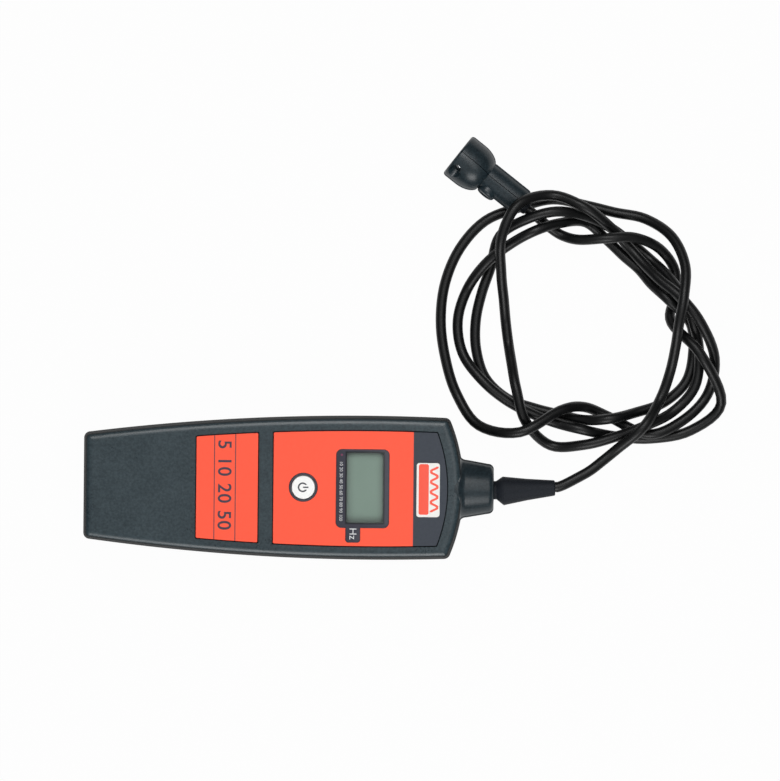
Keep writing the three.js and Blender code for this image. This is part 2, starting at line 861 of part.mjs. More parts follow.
const flangeFromNose = 5;
const collarFlange = 1.6;
const flangeNose = noseX - flangeFromNose;
const flangeTail = flangeNose - collarFlange;
const collarFlangeStep = 1.2;
const collarFlangeRadius = neckRadius + collarFlangeStep;
const collarBore = neckRadius - wall;
const reliefNeckRadius = 4.9;
const reliefFlangeRadius = 6.6;
const reliefFlange = 1.6;
const reliefNeckReach = 1.7;
const reliefNeckEnd = collarEnd + reliefNeckReach;
const reliefWideReach = 4.9;
const reliefWide = collarEnd + reliefWideReach;

function collarOuter(x) {
  const fall = collarTaper / (collarReach - collarEdge);
  return collarBaseRadius - fall * (x - noseX);
}

function makeCollar() {
  const shoulder = collarEnd - collarEdge;
  const rim = collarOuter(shoulder) - collarEdge;
  const round = arc(rim, shoulder, collarEdge, 0, quarter, cornerSteps);
  const seat = flangeNose + wall / 2;
  const body = turnedAlongX(closed([
    [collarBore, flangeTail],
    [collarFlangeRadius, flangeTail],
    [collarFlangeRadius, flangeNose],
    [neckRadius, flangeNose],
    [neckRadius, seat],
    [collarOuter(seat), seat],
    ...round,
    [reliefNeckRadius + seatGap, collarEnd],
    [reliefNeckRadius + seatGap, collarEnd - collarWall],
    [collarBore, collarEnd - collarWall],
  ]));
  const raised = body.translate(0, 0, cableHeight);
  // The base of the collar follows the bowed and drafted nose.
  const swollenCase = loft([
    ...edgeRings(0, backEdgeRadius, -1, seatGap).reverse(),
    caseRing(partingHeight, -seatGap),
    ...edgeRings(caseDepth, edgeRadius, 1, seatGap),
  ]);
  const neck = lengthwiseRod(neckRadius, flangeTail - overrun, collarEnd, 0, cableHeight, roundSides);
  const behindNeck = midBox(tailX, flangeNose + seatGap, 2 * widestWidth, -overrun, caseDepth + overrun);
  return raised.subtract(swollenCase.subtract(neck).subtract(behindNeck));
}

function makeStrainRelief() {
  const inner = collarEnd - collarWall - seatGap;
  return turnedAlongX([
    [0, inner - reliefFlange],
    [reliefFlangeRadius, inner - reliefFlange],
    [reliefFlangeRadius, inner],
    [reliefNeckRadius, inner],
    [reliefNeckRadius, reliefNeckEnd],
    [reliefWideRadius, reliefWide],
    [reliefTipRadius, reliefEnd],
    [0, reliefEnd],
  ].map(([r, x]) => [r, x - collarEnd]), roundSides / 2);
}

function makeInnerLead() {
  const start = collarEnd - collarWall - seatGap - reliefFlange - seatGap;
  return lengthwiseRod(innerLeadRadius, headerNose + closeGap, start, 0, cableHeight);
}

function makeCableClamp() {
  const base = cableHeight + clampSplit;
  let clamp = midBox(clampTail, clampTail + clampLength, clampWidth, base, clampTop);
  clamp = clamp.subtract(clampBore(innerLeadRadius + closeGap));
  for (const side of [-1, 1]) {
    clamp = clamp.subtract(uprightRod(clampTail + clampLength / 2, side * clampScrewY,
      clampScrewRadius + seatGap, base - overrun, clampTop + overrun));
  }
  return clamp;
}

// Sensor head, in its own frame: x runs from the mouth to the cable, z is up.

const mouthEdge = 1.6;
const shoulderStart = 8.5;
const shoulderEnd = 17.2;
const handleEdge = 2;
const handleShift = 1;
const grommetHole = 3.2;
const faceSeat = 10.5;
const faceThickness = 2;
const boardSeat = 8;
const ledgeRadius = 8.9;
const sensorBoardPlace = 13.4;
const sensorBoardThickness = 1.6;
const handleBore = 5.2;
const headEndWall = 2.5;
const frontScrewPlace = 4;
const frontScrewHeight = 7.6;
const rearScrewPlace = 23;
const sensorScrewRadius = 1.1;
const sensorScrewHeadRadius = 2;
const sensorScrewHead = 1.6;
const counterboreRadius = 3;
const frontCounterboreFloor = 5;
const rearPadRadius = 3.8;
const rearPadProud = 1.8;
const rearPillarRadius = 3;
const rearCounterboreFloor = 5.9;
const sensorScrewReach = 5;

// The shoulder swells from the handle to the cup along a quarter of an ellipse. The handle lies a little off
// the axis of the cup, to its left.
function headOutside() {
  const profile = [[0, 0]];
  profile.push(...arc(cupRadius - mouthEdge, mouthEdge, mouthEdge, -quarter, 0, cornerSteps));
  const steps = 2 * cornerSteps;
  for (let i = 0; i <= steps; i += 1) {
    const angle = quarter * i / steps;
    const reach = shoulderStart + (shoulderEnd - shoulderStart) * Math.sin(angle);
    profile.push([handleRadius + (cupRadius - handleRadius) * Math.cos(angle), reach]);
  }
  profile.push([0, shoulderEnd]);
  const handle = turnedAlongX([
    [0, shoulderStart],
    [handleRadius, shoulderStart],
    ...arc(handleRadius - handleEdge, headLength - handleEdge, handleEdge, 0, quarter, cornerSteps),
    [0, headLength],
  ]);
  return turnedAlongX(profile).add(handle.translate(0, handleShift, 0));
}

function headInside() {
  const faceEnd = mouthDepth + faceThickness + seatGap;
  const boardFront = sensorBoardPlace - seatGap;
  const boardEnd = sensorBoardPlace + sensorBoardThickness + seatGap;
  return turnedAlongX([
    [0, -overrun],
    [mouthRadius, -overrun],
    [mouthRadius, mouthDepth],
    [faceSeat, mouthDepth],
    [faceSeat, faceEnd],
    [ledgeRadius, faceEnd],
    [ledgeRadius, boardFront],
    [boardSeat, boardFront],
    [boardSeat, boardEnd],
    [handleBore, boardEnd + boardSeat - handleBore],
    [handleBore, headLength - headEndWall],
    [grommetHole, headLength - headEndWall],
    [grommetHole, headLength + overrun],
    [0, headLength + overrun],
  ]);
}

// Both halves together, with the screw bosses and counterbores cut in from one side.
function makeSensorShells() {
  const widest = cupRadius + overrun;
  let shell = headOutside();
  const rearPad = sidewaysRod(rearScrewPlace, 0, rearPadRadius, handleShift - handleRadius - rearPadProud,
    0, 2 * smallSides);
  shell = shell.add(rearPad).subtract(headInside());
  const pillar = sidewaysRod(rearScrewPlace, 0, rearPillarRadius, handleShift - handleRadius + overrun,
    handleShift + handleRadius - overrun);
  shell = shell.add(pillar);
  const [front, rear] = [
    sidewaysRod(frontScrewPlace, frontScrewHeight, counterboreRadius, -widest, -frontCounterboreFloor,
      2 * smallSides),
    sidewaysRod(rearScrewPlace, 0, sensorScrewHeadRadius + seatGap, -widest, -rearCounterboreFloor,
      2 * smallSides),
  ];
  const frontBoss = sidewaysRod(frontScrewPlace, frontScrewHeight, counterboreRadius - seatGap,
    -frontCounterboreFloor - overrun, sensorScrewReach + overrun).intersect(headOutside());
  shell = shell.add(frontBoss).subtract(front).subtract(rear);
  const clearance = sensorScrewRadius + closeGap;
  shell = shell.subtract(sidewaysRod(frontScrewPlace, frontScrewHeight, clearance, -widest,
    sensorScrewReach));
  shell = shell.subtract(sidewaysRod(rearScrewPlace, 0, clearance, -widest, sensorScrewReach));
  const far = headLength + overrun;
  return {
    left: shell.intersect(box(-overrun, far, -widest, -seatGap / 2, -widest, widest)),
    right: shell.intersect(box(-overrun, far, seatGap / 2, widest, -widest, widest)),
  };
}

const lampRadius = 2.5;
const lampSpread = 4.3;
const lampDrop = -1.8;
const aimRadius = 1.5;
const aimRise = 4.4;
const lampProud = 1;

function makeSensorFace() {
  let face = turnedAlongX(closed([
    [0, mouthDepth + closeGap],
    [faceSeat - closeGap, mouthDepth + closeGap],
    [faceSeat - closeGap, mouthDepth + faceThickness],
    [0, mouthDepth + faceThickness],
  ]), 2 * smallSides);
  for (const side of [-1, 1]) {
    face = face.subtract(lengthwiseRod(lampRadius + closeGap, 0, headLength, side * lampSpread, lampDrop));
  }
  return face.subtract(lengthwiseRod(aimRadius + closeGap, 0, headLength, 0, aimRise));
}

// A lamp with a domed tip and a foot that stands on the sensor board.
function makeLamp(radius, y, z) {
  const foot = sensorBoardPlace - closeGap;
  const domeStart = mouthDepth - lampProud + radius;
  const dome = arc(0, domeStart, radius, -quarter, 0, cornerSteps);
  const flangeThick = lampProud / 2;
  const profile = [
    ...dome,
    [radius, foot - flangeThick],
    [radius + flangeThick, foot - flangeThick],
    [radius + flangeThick, foot],
    [0, foot],
  ];
  return turnedAlongX(profile, smallSides).translate(0, y, z);
}

function makeSensorBoard() {
  return lengthwiseRod(boardSeat - seatGap, sensorBoardPlace, sensorBoardPlace + sensorBoardThickness, 0, 0,
    2 * smallSides);
}

const grommetFlange = 4.6;
const grommetFlangeThickness = 1.3;
const grommetNubRadius = 3.7;
const grommetTipRadius = 3.1;
const grommetReach = 3;

function makeSensorGrommet() {
  const inner = headLength - headEndWall - seatGap;
  const outer = headLength + seatGap;
  return turnedAlongX([
    [0, inner - grommetFlangeThickness],
    [grommetFlange, inner - grommetFlangeThickness],
    [grommetFlange, inner],
    [grommetHole - seatGap, inner],
    [grommetHole - seatGap, outer],
    [grommetNubRadius, outer],
    [grommetTipRadius, outer + grommetReach],
    [0, outer + grommetReach],
  ], 2 * smallSides);
}

// Cable. Its route is chosen by hand, as it lies on the bench: it leaves the strain relief, winds almost five
// times round the middle of the coil and rises into the sensor head.

const coilX = 154.8;
const coilY = 83.9;
const floorHeight = 2.6;
const coilStart = THREE.MathUtils.degToRad(-75);
const stationsPerTurn = 24;
const leadIn = [
  [145.5, 2.6, 16],
  [151.2, 5.6, 15.4],
  [158, 9.5, 14.4],
  [164, 14.2, 14],
];
// Reach from the middle of the coil, one row a turn.
const coilReach = [
  [65.5, 60, 54, 49.5, 47, 47, 51, 57.5, 61, 60, 57, 58.5, 63.5, 66, 71, 72.5, 72.5, 72, 72, 73.5, 74,
    64, 46, 42.5],
  [49, 64.5, 69.5, 71.5, 67.5, 58, 49.5, 43, 41.5, 43.5, 49, 57, 65.5, 67.5, 59.5, 48.5, 42, 39.5, 39.5,
    42, 48, 58, 64, 61.5],
  [59.5, 60, 63, 64, 59.5, 54.5, 50.5, 47.5, 45.5, 46, 49, 53, 57, 59, 60.5, 54.5, 53.5, 54.5, 56, 57,
    54.5, 50, 48, 49],
  [50, 52, 56.5, 59, 56.5, 53, 43.5, 38.5, 38, 38.5, 42.5, 50, 51, 52, 54, 57.5, 61, 63.5, 63, 59, 55.5,
    53, 52.5, 54],
  [59, 67, 76, 79.5, 60, 43.5, 46, 52, 52.5, 49, 43.5],
];
// Height above the cable that lies on the bench, for the same places.
const coilRise = [
  [12, 17, 9, 10, 16.5, 22.5, 23, 17.5, 10, 2, 0, 0, 0, 0, 0, 0, 0, 0, 0, 0, 6.5, 17, 11, 4],
  [0, 5.5, 3, 0, 7.5, 17, 17.5, 13.5, 8, 5.5, 9, 16, 12.3, 20, 19.5, 10.5, 4, 0, 0, 5.5, 12, 10.5, 2, 7],
  [8.5, 10.5, 3.5, 3.5, 5, 11, 11.5, 5.5, 0, 0, 2.5, 9, 16, 15, 7, 0, 0, 0, 0, 0, 0, 0, 0, 5],
  [10.5, 3.5, 0, 0, 0, 4.5, 10.5, 4.5, 0, 0, 0, 3, 11, 16, 10.5, 7.5, 0, 0, 1.5, 6, 6, 5, 4.5, 8],
  [0, 0, 0, 3.5, 16, 5.5, 0, 0, 4, 11, 14.5],
];
const leadOut = [
  [152, 125, 12.5],
  [143.5, 127, 8],
  [137, 131, 8.5],
];
const cableSides = 8;
const loopSides = 6;

function coilPoints() {
  const step = 4 * quarter / stationsPerTurn;
  const places = coilReach.flatMap((row, turn) => row.map((reach, i) => ({
    reach,
    rise: coilRise[turn][i],
    angle: coilStart + step * (turn * stationsPerTurn + i),
  })));
  return places.map(({ reach, rise, angle }) => new THREE.Vector3(
    coilX + reach * Math.cos(angle),
    coilY + reach * Math.sin(angle),
    floorHeight + rise,
  ));
}

// A tube with one ring at each point. Each ring is turned on from the last, so the tube doesn't twist.
function ringTube(points, radius, sides) {
  const last = points.length - 1;
  const tangent = (i) => points[Math.min(i + 1, last)].clone().sub(points[Math.max(i - 1, 0)]).normalize();
  const side = new THREE.Vector3(0, 0, 1).cross(tangent(0)).normalize();
  const positions = [];
  points.forEach((point, i) => {
    const along = tangent(i);
    side.addScaledVector(along, -side.dot(along)).normalize();
    const up = along.clone().cross(side);
    for (let k = 0; k < sides; k += 1) {
      const angle = 4 * quarter * k / sides;
      positions.push(point.clone().addScaledVector(side, radius * Math.cos(angle))
        .addScaledVector(up, radius * Math.sin(angle)));
    }
  });
  const triangles = [];
  for (let i = 0; i < last; i += 1) {
    for (let k = 0; k < sides; k += 1) {
      const [a, b] = [i * sides + k, i * sides + (k + 1) % sides];
      triangles.push(a, b, b + sides, a, b + sides, a + sides);
    }
  }
  for (let k = 1; k + 1 < sides; k += 1) {
    triangles.push(0, k + 1, k, last * sides, last * sides + k, last * sides + k + 1);
  }
  const geometry = new THREE.BufferGeometry().setFromPoints(positions);
  geometry.setIndex(triangles);
  return solid(geometry);
}

// The least gap between stretches of the wound tube that are more than a few diameters apart along it.
function leastGap(points) {
  const samplesPerStep = 8;
  const samples = [];
  let run = 0;
  for (let i = 0; i + 1 < points.length; i += 1) {
    for (let k = 0; k < samplesPerStep; k += 1) {
      samples.push({ point: points[i].clone().lerp(points[i + 1], k / samplesPerStep), run });
      run += points[i].distanceTo(points[i + 1]) / samplesPerStep;
    }
  }
  let least = Infinity;
  for (const a of samples) {
    for (const b of samples) {
      const apart = b.run - a.run > 4 * cableDiameter;
      if (apart) least = Math.min(least, a.point.distanceTo(b.point) - cableDiameter);
    }
  }
  return { least, run };
}

// Assembly

const handset = new THREE.Group();
const head = new THREE.Group();
const tester = new THREE.Group();

const handsetPieces = [
  ['bottom_shell', makeBottomShell(), slatePlastic],
  ['top_shell', makeTopShell(), slatePlastic],
  ['battery_door', makeBatteryDoor(), slatePlastic],
  ['main_label', makeMainLabel(), redFilm],
  ['reference_label', makeReferenceLabel(), redFilm],
  ['badge_plate', makeBadgePlate(), whiteFilm],
  ['display_window', windowShape(0, windowTop - windowThickness, windowTop), clearWindow],
  ['display_glass', makeDisplayGlass(), displayGlass],
  ['display_frame', makeDisplayFrame(), whitePlastic],
  ['zebra_strip_tail', makeZebraStrip(-1), blackRubber],
  ['zebra_strip_nose', makeZebraStrip(1), blackRubber],
  ['button_ring', makeButtonRing(), blackPlastic],
  ['power_button', makePowerButton(), whitePlastic],
  ['switch_body', makeSwitchBody(), blackPlastic],
  ['switch_plunger', makeSwitchPlunger(), blackPlastic],
  ['circuit_board', makeCircuitBoard(), boardGreen],
  ['processor', makeProcessor(), chipBlack],
  ['amplifier_chip', makeAmplifier(), chipBlack],
  ['crystal', makeCrystal(), steel],
  ['capacitor_left', makeCapacitor(1), chipBlack],
  ['capacitor_right', makeCapacitor(-1), chipBlack],
  ['cable_header', makeCableHeader(), whitePlastic],
  ['battery', makeBattery(), batteryCase],
  ['battery_clip', makeBatteryClip(), blackPlastic],
  ['battery_pad', makeBatteryPad(), foam],
  ['battery_lead_positive', makeBatteryLead(1), copperWire],
  ['battery_lead_negative', makeBatteryLead(-1), chipBlack],
  ['nose_collar', makeCollar(), slatePlastic],
  ['inner_lead', makeInnerLead(), blackCable],
  ['cable_clamp', makeCableClamp(), blackPlastic],
];
for (const [name, body, material] of handsetPieces) handset.add(toMesh(name, body, material));

const strainRelief = toMesh('strain_relief', makeStrainRelief(), blackRubber);
strainRelief.position.set(collarEnd, 0, cableHeight);
strainRelief.rotation.z = reliefTilt;
handset.add(strainRelief);

const caseScrew = makeScrew(caseScrewHeadRadius, caseScrewHead, caseScrewRadius,
  caseScrewEnd - caseScrewSink);
caseScrewPlaces.forEach(([x, y], i) => {
  handset.add(placedScrew(`case_screw_${i + 1}`, caseScrew, x, y, caseScrewSink));
});
const boardScrewFace = boardBottom - closeGap - boardScrewHead;
const boardScrew = makeScrew(boardScrewHeadRadius, boardScrewHead, boardScrewRadius,
  boardScrewEnd - boardScrewFace);
boardPostPlaces.forEach(([x, y], i) => {
  handset.add(placedScrew(`board_screw_${i + 1}`, boardScrew, x, y, boardScrewFace));
});
const clampScrewFace = clampTop + closeGap + clampScrewHead;
const clampScrew = makeScrew(clampScrewHeadRadius, clampScrewHead, clampScrewRadius,
  clampScrewFace - clampScrewEnd);
for (const side of [-1, 1]) {
  const name = side < 0 ? 'clamp_screw_right' : 'clamp_screw_left';
  const x = clampTail + clampLength / 2;
  handset.add(placedScrew(name, clampScrew, x, side * clampScrewY, clampScrewFace, true));
}

const sensorShells = makeSensorShells();
const headPieces = [
  ['sensor_shell_left', sensorShells.left, slatePlastic],
  ['sensor_shell_right', sensorShells.right, slatePlastic],
  ['sensor_face', makeSensorFace(), blackPlastic],
  ['infrared_emitter', makeLamp(lampRadius, lampSpread, lampDrop), clearLens],
  ['infrared_detector', makeLamp(lampRadius, -lampSpread, lampDrop), smokedLens],
  ['aiming_lamp', makeLamp(aimRadius, 0, aimRise), redLens],
  ['sensor_board', makeSensorBoard(), boardGreen],
  ['sensor_grommet', makeSensorGrommet(), blackRubber],
];
for (const [name, body, material] of headPieces) head.add(toMesh(name, body, material));

// The two head screws lie across the head, with their heads on its left.
const sensorScrewPlaces = [
  ['sensor_screw_front', frontScrewPlace, frontScrewHeight,
    frontCounterboreFloor + closeGap + sensorScrewHead],
  ['sensor_screw_rear', rearScrewPlace, 0, rearCounterboreFloor + closeGap + sensorScrewHead],
];
for (const [name, x, z, face] of sensorScrewPlaces) {
  const length = face + sensorScrewReach - seatGap;
  const screw = makeScrew(sensorScrewHeadRadius, sensorScrewHead, sensorScrewRadius, length);
  const mesh = toMesh(name, screw, steel);
  mesh.position.set(x, -face, z);
  mesh.rotation.x = -quarter;
  head.add(mesh);
}
const heading = new THREE.Quaternion().setFromAxisAngle(new THREE.Vector3(0, 0, 1), headHeading);
const roll = new THREE.Quaternion().setFromAxisAngle(new THREE.Vector3(1, 0, 0), headRoll);
head.quaternion.multiplyQuaternions(heading, roll);
head.position.set(headX, headY, cupRadius);

tester.add(handset, head);

// The cable starts square to the strain relief and ends square to the grommet.
tester.updateMatrixWorld(true);
const sleeveEnd = reliefEnd - collarEnd + seatGap;
const reliefTip = strainRelief.localToWorld(new THREE.Vector3(sleeveEnd, 0, 0));
const reliefTurn = strainRelief.localToWorld(new THREE.Vector3(sleeveEnd + cableDiameter / 4, 0, 0));
const straightEnd = headLength + grommetReach + 2 * seatGap;
const headTurn = head.localToWorld(new THREE.Vector3(straightEnd + cableDiameter, 0, 0));
const headTip = head.localToWorld(new THREE.Vector3(straightEnd, 0, 0));
const loops = coilPoints();
const runPoints = [reliefTip, reliefTurn, ...leadIn.map(([x, y, z]) => new THREE.Vector3(x, y, z))];
const joint = runPoints[runPoints.length - 1];
const loopStart = joint.clone().addScaledVector(loops[0].clone().sub(joint).normalize(), seatGap);
const loopPoints = [loopStart, ...loops, ...leadOut.map(([x, y, z]) => new THREE.Vector3(x, y, z)),
  headTurn, headTip];
const gap = leastGap([...runPoints, ...loopPoints]);
console.log(`least gap between turns ${gap.least.toFixed(2)} mm, cable length ${gap.run.toFixed(0)} mm`);
tester.add(toMesh('lead_run', ringTube(runPoints, cableDiameter / 2, cableSides), blackCable));
tester.add(toMesh('lead_loops', ringTube(loopPoints, cableDiameter / 2, loopSides), blackCable));

export default tester;
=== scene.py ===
# %% [markdown]
# # A belt tension tester
# The handset shows the frequency that the sensor head reads from a plucked drive belt. It is a
# two-part case of slate grey plastic with a red printed label, a display, one button and a round
# collar where the cable leaves. Each step below makes one piece, and says first what that piece is.
# Sizes are in millimetres, and one factor turns them into Blender's metres.

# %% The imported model
import json
import math

import bmesh
import bpy
import numpy as np
from mathutils.geometry import tessellate_polygon
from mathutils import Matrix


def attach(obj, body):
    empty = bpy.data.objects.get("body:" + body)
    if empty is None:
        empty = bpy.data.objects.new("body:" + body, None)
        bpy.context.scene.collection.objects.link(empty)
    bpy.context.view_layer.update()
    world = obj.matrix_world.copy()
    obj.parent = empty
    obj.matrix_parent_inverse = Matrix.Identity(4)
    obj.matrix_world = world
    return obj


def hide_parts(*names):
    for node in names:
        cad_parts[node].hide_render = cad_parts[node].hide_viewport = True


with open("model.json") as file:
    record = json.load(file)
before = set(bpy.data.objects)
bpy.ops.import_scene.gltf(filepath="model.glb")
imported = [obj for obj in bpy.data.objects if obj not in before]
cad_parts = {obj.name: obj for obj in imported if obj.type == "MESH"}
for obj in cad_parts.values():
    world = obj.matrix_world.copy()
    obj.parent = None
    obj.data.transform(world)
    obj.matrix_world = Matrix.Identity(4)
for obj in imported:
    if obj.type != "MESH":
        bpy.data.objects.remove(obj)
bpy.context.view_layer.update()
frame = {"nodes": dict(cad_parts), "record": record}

MM = 0.001
nodes = frame["nodes"]

# %% [markdown]
# ## Where the camera stands
# The tester lies on its back on a white table and is photographed from straight above. All four
# sides of the case show equally little, which tells of a long lens far away. So the camera stands
# 7 m above the table, and its focal length is worked out from the width that the picture takes in.

# %% Camera
camera_height = 7000
middle_height = 16
field_across = 390.5
picture_centre = (57.7, 48.7)
picture_turn = math.radians(0.55)
sensor = 36


def new_object(name, data):
    """An object with this data, linked into the scene."""
    made = bpy.data.objects.new(name, data)
    bpy.context.scene.collection.objects.link(made)
    return made


camera_data = bpy.data.cameras.new("camera")
camera_data.sensor_width = sensor
camera_data.lens = sensor * (camera_height - middle_height) / field_across
camera = new_object("camera", camera_data)
camera.location = np.array([*picture_centre, camera_height]) * MM
camera.rotation_euler = (0, 0, picture_turn)
bpy.context.scene.camera = camera
print("lens in mm:", round(camera_data.lens, 1))

# %% [markdown]
# ## The route of the cable
# The cable is 5.2 mm thick and 1.8 m long. It leaves the strain relief, winds four and a half times
# round the middle of a loose coil, and ends in the sensor head. Its route is a list of places put
# down one by one: the reach from the middle of the coil and the height above the table, 24 to a turn.
# Straight lines between them would show corners, so the Catmull-Rom rule rounds each span.

# %% Places along the cable
cable_diameter = 5.2
coil_middle = (154.8, 83.9)
coil_start = math.radians(-75)
places_per_turn = 24
table_clearance = 2.6
relief_base = np.array([110, 0, 16])
relief_tilt = math.radians(2.3)
relief_tip = 30.7
head_place = np.array([90.65, 167.3, 12.1])
head_heading = math.radians(-38)
head_roll = math.radians(-9.5)
head_length = 41
grommet_end = 44.3
past_relief = np.array([-3, 0.3, 1.55])
past_grommet = np.array([5.3, 0.3, -2])

lead_in = [[145.5, 2.6, 16], [151.2, 5.6, 15.4], [158, 9.5, 14.4], [164, 14.2, 14]]
coil_reach = [
    65.5, 60, 54, 49.5, 47, 47, 51, 57.5, 61, 60, 57, 58.5, 63.5, 66, 71, 72.5, 72.5, 72, 72, 73.5, 74,
    64, 46, 42.5, 49, 64.5, 69.5, 71.5, 67.5, 58, 49.5, 43, 41.5, 43.5, 49, 57, 65.5, 67.5, 59.5, 48.5,
    42, 39.5, 39.5, 42, 48, 58, 64, 61.5, 59.5, 60, 63, 64, 59.5, 54.5, 50.5, 47.5, 45.5, 46, 49, 53,
    57, 59, 60.5, 54.5, 53.5, 54.5, 56, 57, 54.5, 50, 48, 49, 50, 52, 56.5, 59, 56.5, 53, 43.5, 38.5,
    38, 38.5, 42.5, 50, 51, 52, 54, 57.5, 61, 63.5, 63, 59, 55.5, 53, 52.5, 54, 59, 67, 76, 79.5, 60,
    43.5, 46, 52, 52.5, 49, 43.5,
]
coil_rise = [
    12, 17, 9, 10, 16.5, 22.5, 23, 17.5, 10, 2, 0, 0, 0, 0, 0, 0, 0, 0, 0, 0, 6.5, 17, 11, 4, 0, 5.5, 3,
    0, 7.5, 17, 17.5, 13.5, 8, 5.5, 9, 16, 12.3, 20, 19.5, 10.5, 4, 0, 0, 5.5, 12, 10.5, 2, 7, 8.5,
    10.5, 3.5, 3.5, 5, 11, 11.5, 5.5, 0, 0, 2.5, 9, 16, 15, 7, 0, 0, 0, 0, 0, 0, 0, 0, 5, 10.5, 3.5, 0,
    0, 0, 4.5, 10.5, 4.5, 0, 0, 0, 3, 11, 16, 10.5, 7.5, 0, 0, 1.5, 6, 6, 5, 4.5, 8, 0, 0, 0, 3.5, 16,
    5.5, 0, 0, 4, 11, 14.5,
]
lead_out = [[152, 125, 12.5], [143.5, 127, 8], [137, 131, 8.5]]
print("turns of the coil:", round(len(coil_reach) / places_per_turn, 1))


# %% Frames of the head and the strain relief
def turn_about(axis, angle):
    """The 3 x 3 matrix that turns points by an angle about x (0) or z (2)."""
    c, s = math.cos(angle), math.sin(angle)
    if axis == 0:
        return np.array([[1, 0, 0], [0, c, -s], [0, s, c]])
    return np.array([[c, -s, 0], [s, c, 0], [0, 0, 1]])


head_turn = turn_about(2, head_heading) @ turn_about(0, head_roll)


def in_head(points):
    """Points of the sensor head's own frame, x from its mouth to its cable, put in the row frame."""
    return np.asarray(points, float) @ head_turn.T + head_place


def in_relief(points):
    """Points of the strain relief's own frame put in the row frame."""
    return np.asarray(points, float) @ turn_about(2, relief_tilt).T + relief_base


# %% The route in space
coil_angle = coil_start + math.tau / places_per_turn * np.arange(len(coil_reach))
coil = np.stack([
    coil_middle[0] + np.array(coil_reach) * np.cos(coil_angle),
    coil_middle[1] + np.array(coil_reach) * np.sin(coil_angle),
    table_clearance + np.array(coil_rise),
], axis=1)
relief_inside = in_relief(np.outer(relief_tip + past_relief, [1, 0, 0]))
head_inside = in_head(np.outer(grommet_end + past_grommet, [1, 0, 0]))
route = np.vstack([relief_inside, lead_in, coil, lead_out, head_inside])
print("places along the cable:", len(route))

# %% A smooth curve through the places
steps_per_span = 6


def smooth_curve(points, steps):
    """Catmull-Rom: between places 1 and 2 the curve is a cubic that leaves each place in the
    direction of its two neighbours, so it has no corner at any place."""
    before = np.vstack([2 * points[0] - points[1], points[:-2]])
    after = np.vstack([points[2:], 2 * points[-1] - points[-2]])
    a, b, c, d = (p[:, None, :] for p in (before, points[:-1], points[1:], after))
    t = (np.arange(steps) / steps)[None, :, None]
    cubic = 2 * b + (c - a) * t + (2 * a - 5 * b + 4 * c - d) * t**2 + (3 * b - a - 3 * c + d) * t**3
    return np.vstack([cubic.reshape(-1, 3) / 2, points[-1:]])


cable_line = smooth_curve(route, steps_per_span)
cable_line[:, 2] = np.maximum(cable_line[:, 2], table_clearance)
cable_length = np.linalg.norm(np.diff(cable_line, axis=0), axis=1).sum()
print("cable length in mm:", round(cable_length))

# %% [markdown]
# ## Arithmetic on shader sockets
# A finish is a small formula, such as a base colour plus a speckle, and Blender adds it up from
# nodes. Two classes let it be written as Python arithmetic: each operator adds the Math node that
# it stands for, and one method adds any other node.

# %% Shader arithmetic
class Socket:
    """An output of a shader node, with the operators that the finishes below use."""

    def __init__(self, shader, output):
        self.shader = shader
        self.output = output

    def math(self, operation, *others, **settings):
        """A Math node that works on this value and any others."""
        return self.shader.node("ShaderNodeMath", {"operation": operation, **settings}, self, *others)

    def __add__(self, other):
        return self.math("ADD", other)

    def __sub__(self, other):
        return self.math("SUBTRACT", other)

    def __rsub__(self, other):
        return self.math("MULTIPLY_ADD", -1, other)

    def __mul__(self, other):
        return self.math("MULTIPLY", other)

    def __abs__(self):
        return self.math("ABSOLUTE")

    __radd__ = __add__
    __rmul__ = __mul__

    def below(self, limit, soft):
        """1 where the value is under the limit, 0 above, with an edge about as wide as soft."""
        return self.math("MULTIPLY_ADD", -1 / soft, limit / soft + 0.5, use_clamp=True)

    def over(self, limit, soft):
        """0 where the value is under the limit, 1 above."""
        return 1 - self.below(limit, soft)


# %% A material and its nodes
class Shader:
    """A material and its node tree. Lengths in its patterns are millimetres of Object coordinates."""

    def __init__(self, name):
        self.material = bpy.data.materials.new(name)
        self.material.use_nodes = True
        self.tree = self.material.node_tree
        self.surface = self.tree.nodes["Principled BSDF"]
        self.place = self.node("ShaderNodeTexCoord", {}, output="Object")

    def node(self, kind, settings, *values, output=0, **named):
        """Adds a node, sets its settings, and fills its sockets with values or other outputs."""
        made = self.tree.nodes.new(kind)
        for key, value in settings.items():
            setattr(made, key, value)
        for key, value in [*enumerate(values), *named.items()]:
            self.fill(made.inputs[key], value)
        return Socket(self, made.outputs[output])

    def fill(self, socket, value):
        """Links another output to a socket or sets its value. Three numbers are a screen colour."""
        if isinstance(value, Socket):
            self.tree.links.new(value.output, socket)
        elif value is not None:
            socket.default_value = paint(*value) if np.shape(value) == (3,) else value

    def set(self, **values):
        """Fills the sockets of the Principled shader; Base_Color stands for Base Color."""
        for key, value in values.items():
            self.fill(self.surface.inputs[key.replace("_", " ")], value)
        return self

    def axes(self):
        """x, y and z of the Object coordinates, in millimetres."""
        split = self.node("ShaderNodeSeparateXYZ", {}, self.place).output.node
        return [Socket(self, split.outputs[i]) * (1 / MM) for i in range(3)]

    def noise(self, size, detail=2, rough=0.5):
        """Noise between 0 and 1 whose blobs are about this many millimetres wide."""
        return self.node("ShaderNodeTexNoise", {}, output="Fac", Vector=self.place, Scale=1 / (size * MM),
                         Detail=detail, Roughness=rough)

    def colour(self, factor, first, second):
        """A mix of two colours: the first at factor 0, the second at 1. Between the factor and the
        colours lie five sockets for other kinds of mix."""
        unused = [None] * 5
        return self.node("ShaderNodeMix", {"data_type": "RGBA"}, factor, *unused, first, second, output=2)

    def bump(self, height, depth):
        """Normals of a relief of this many millimetres."""
        return self.node("ShaderNodeBump", {}, output="Normal", Strength=1.0, Distance=depth * MM,
                         Height=height)


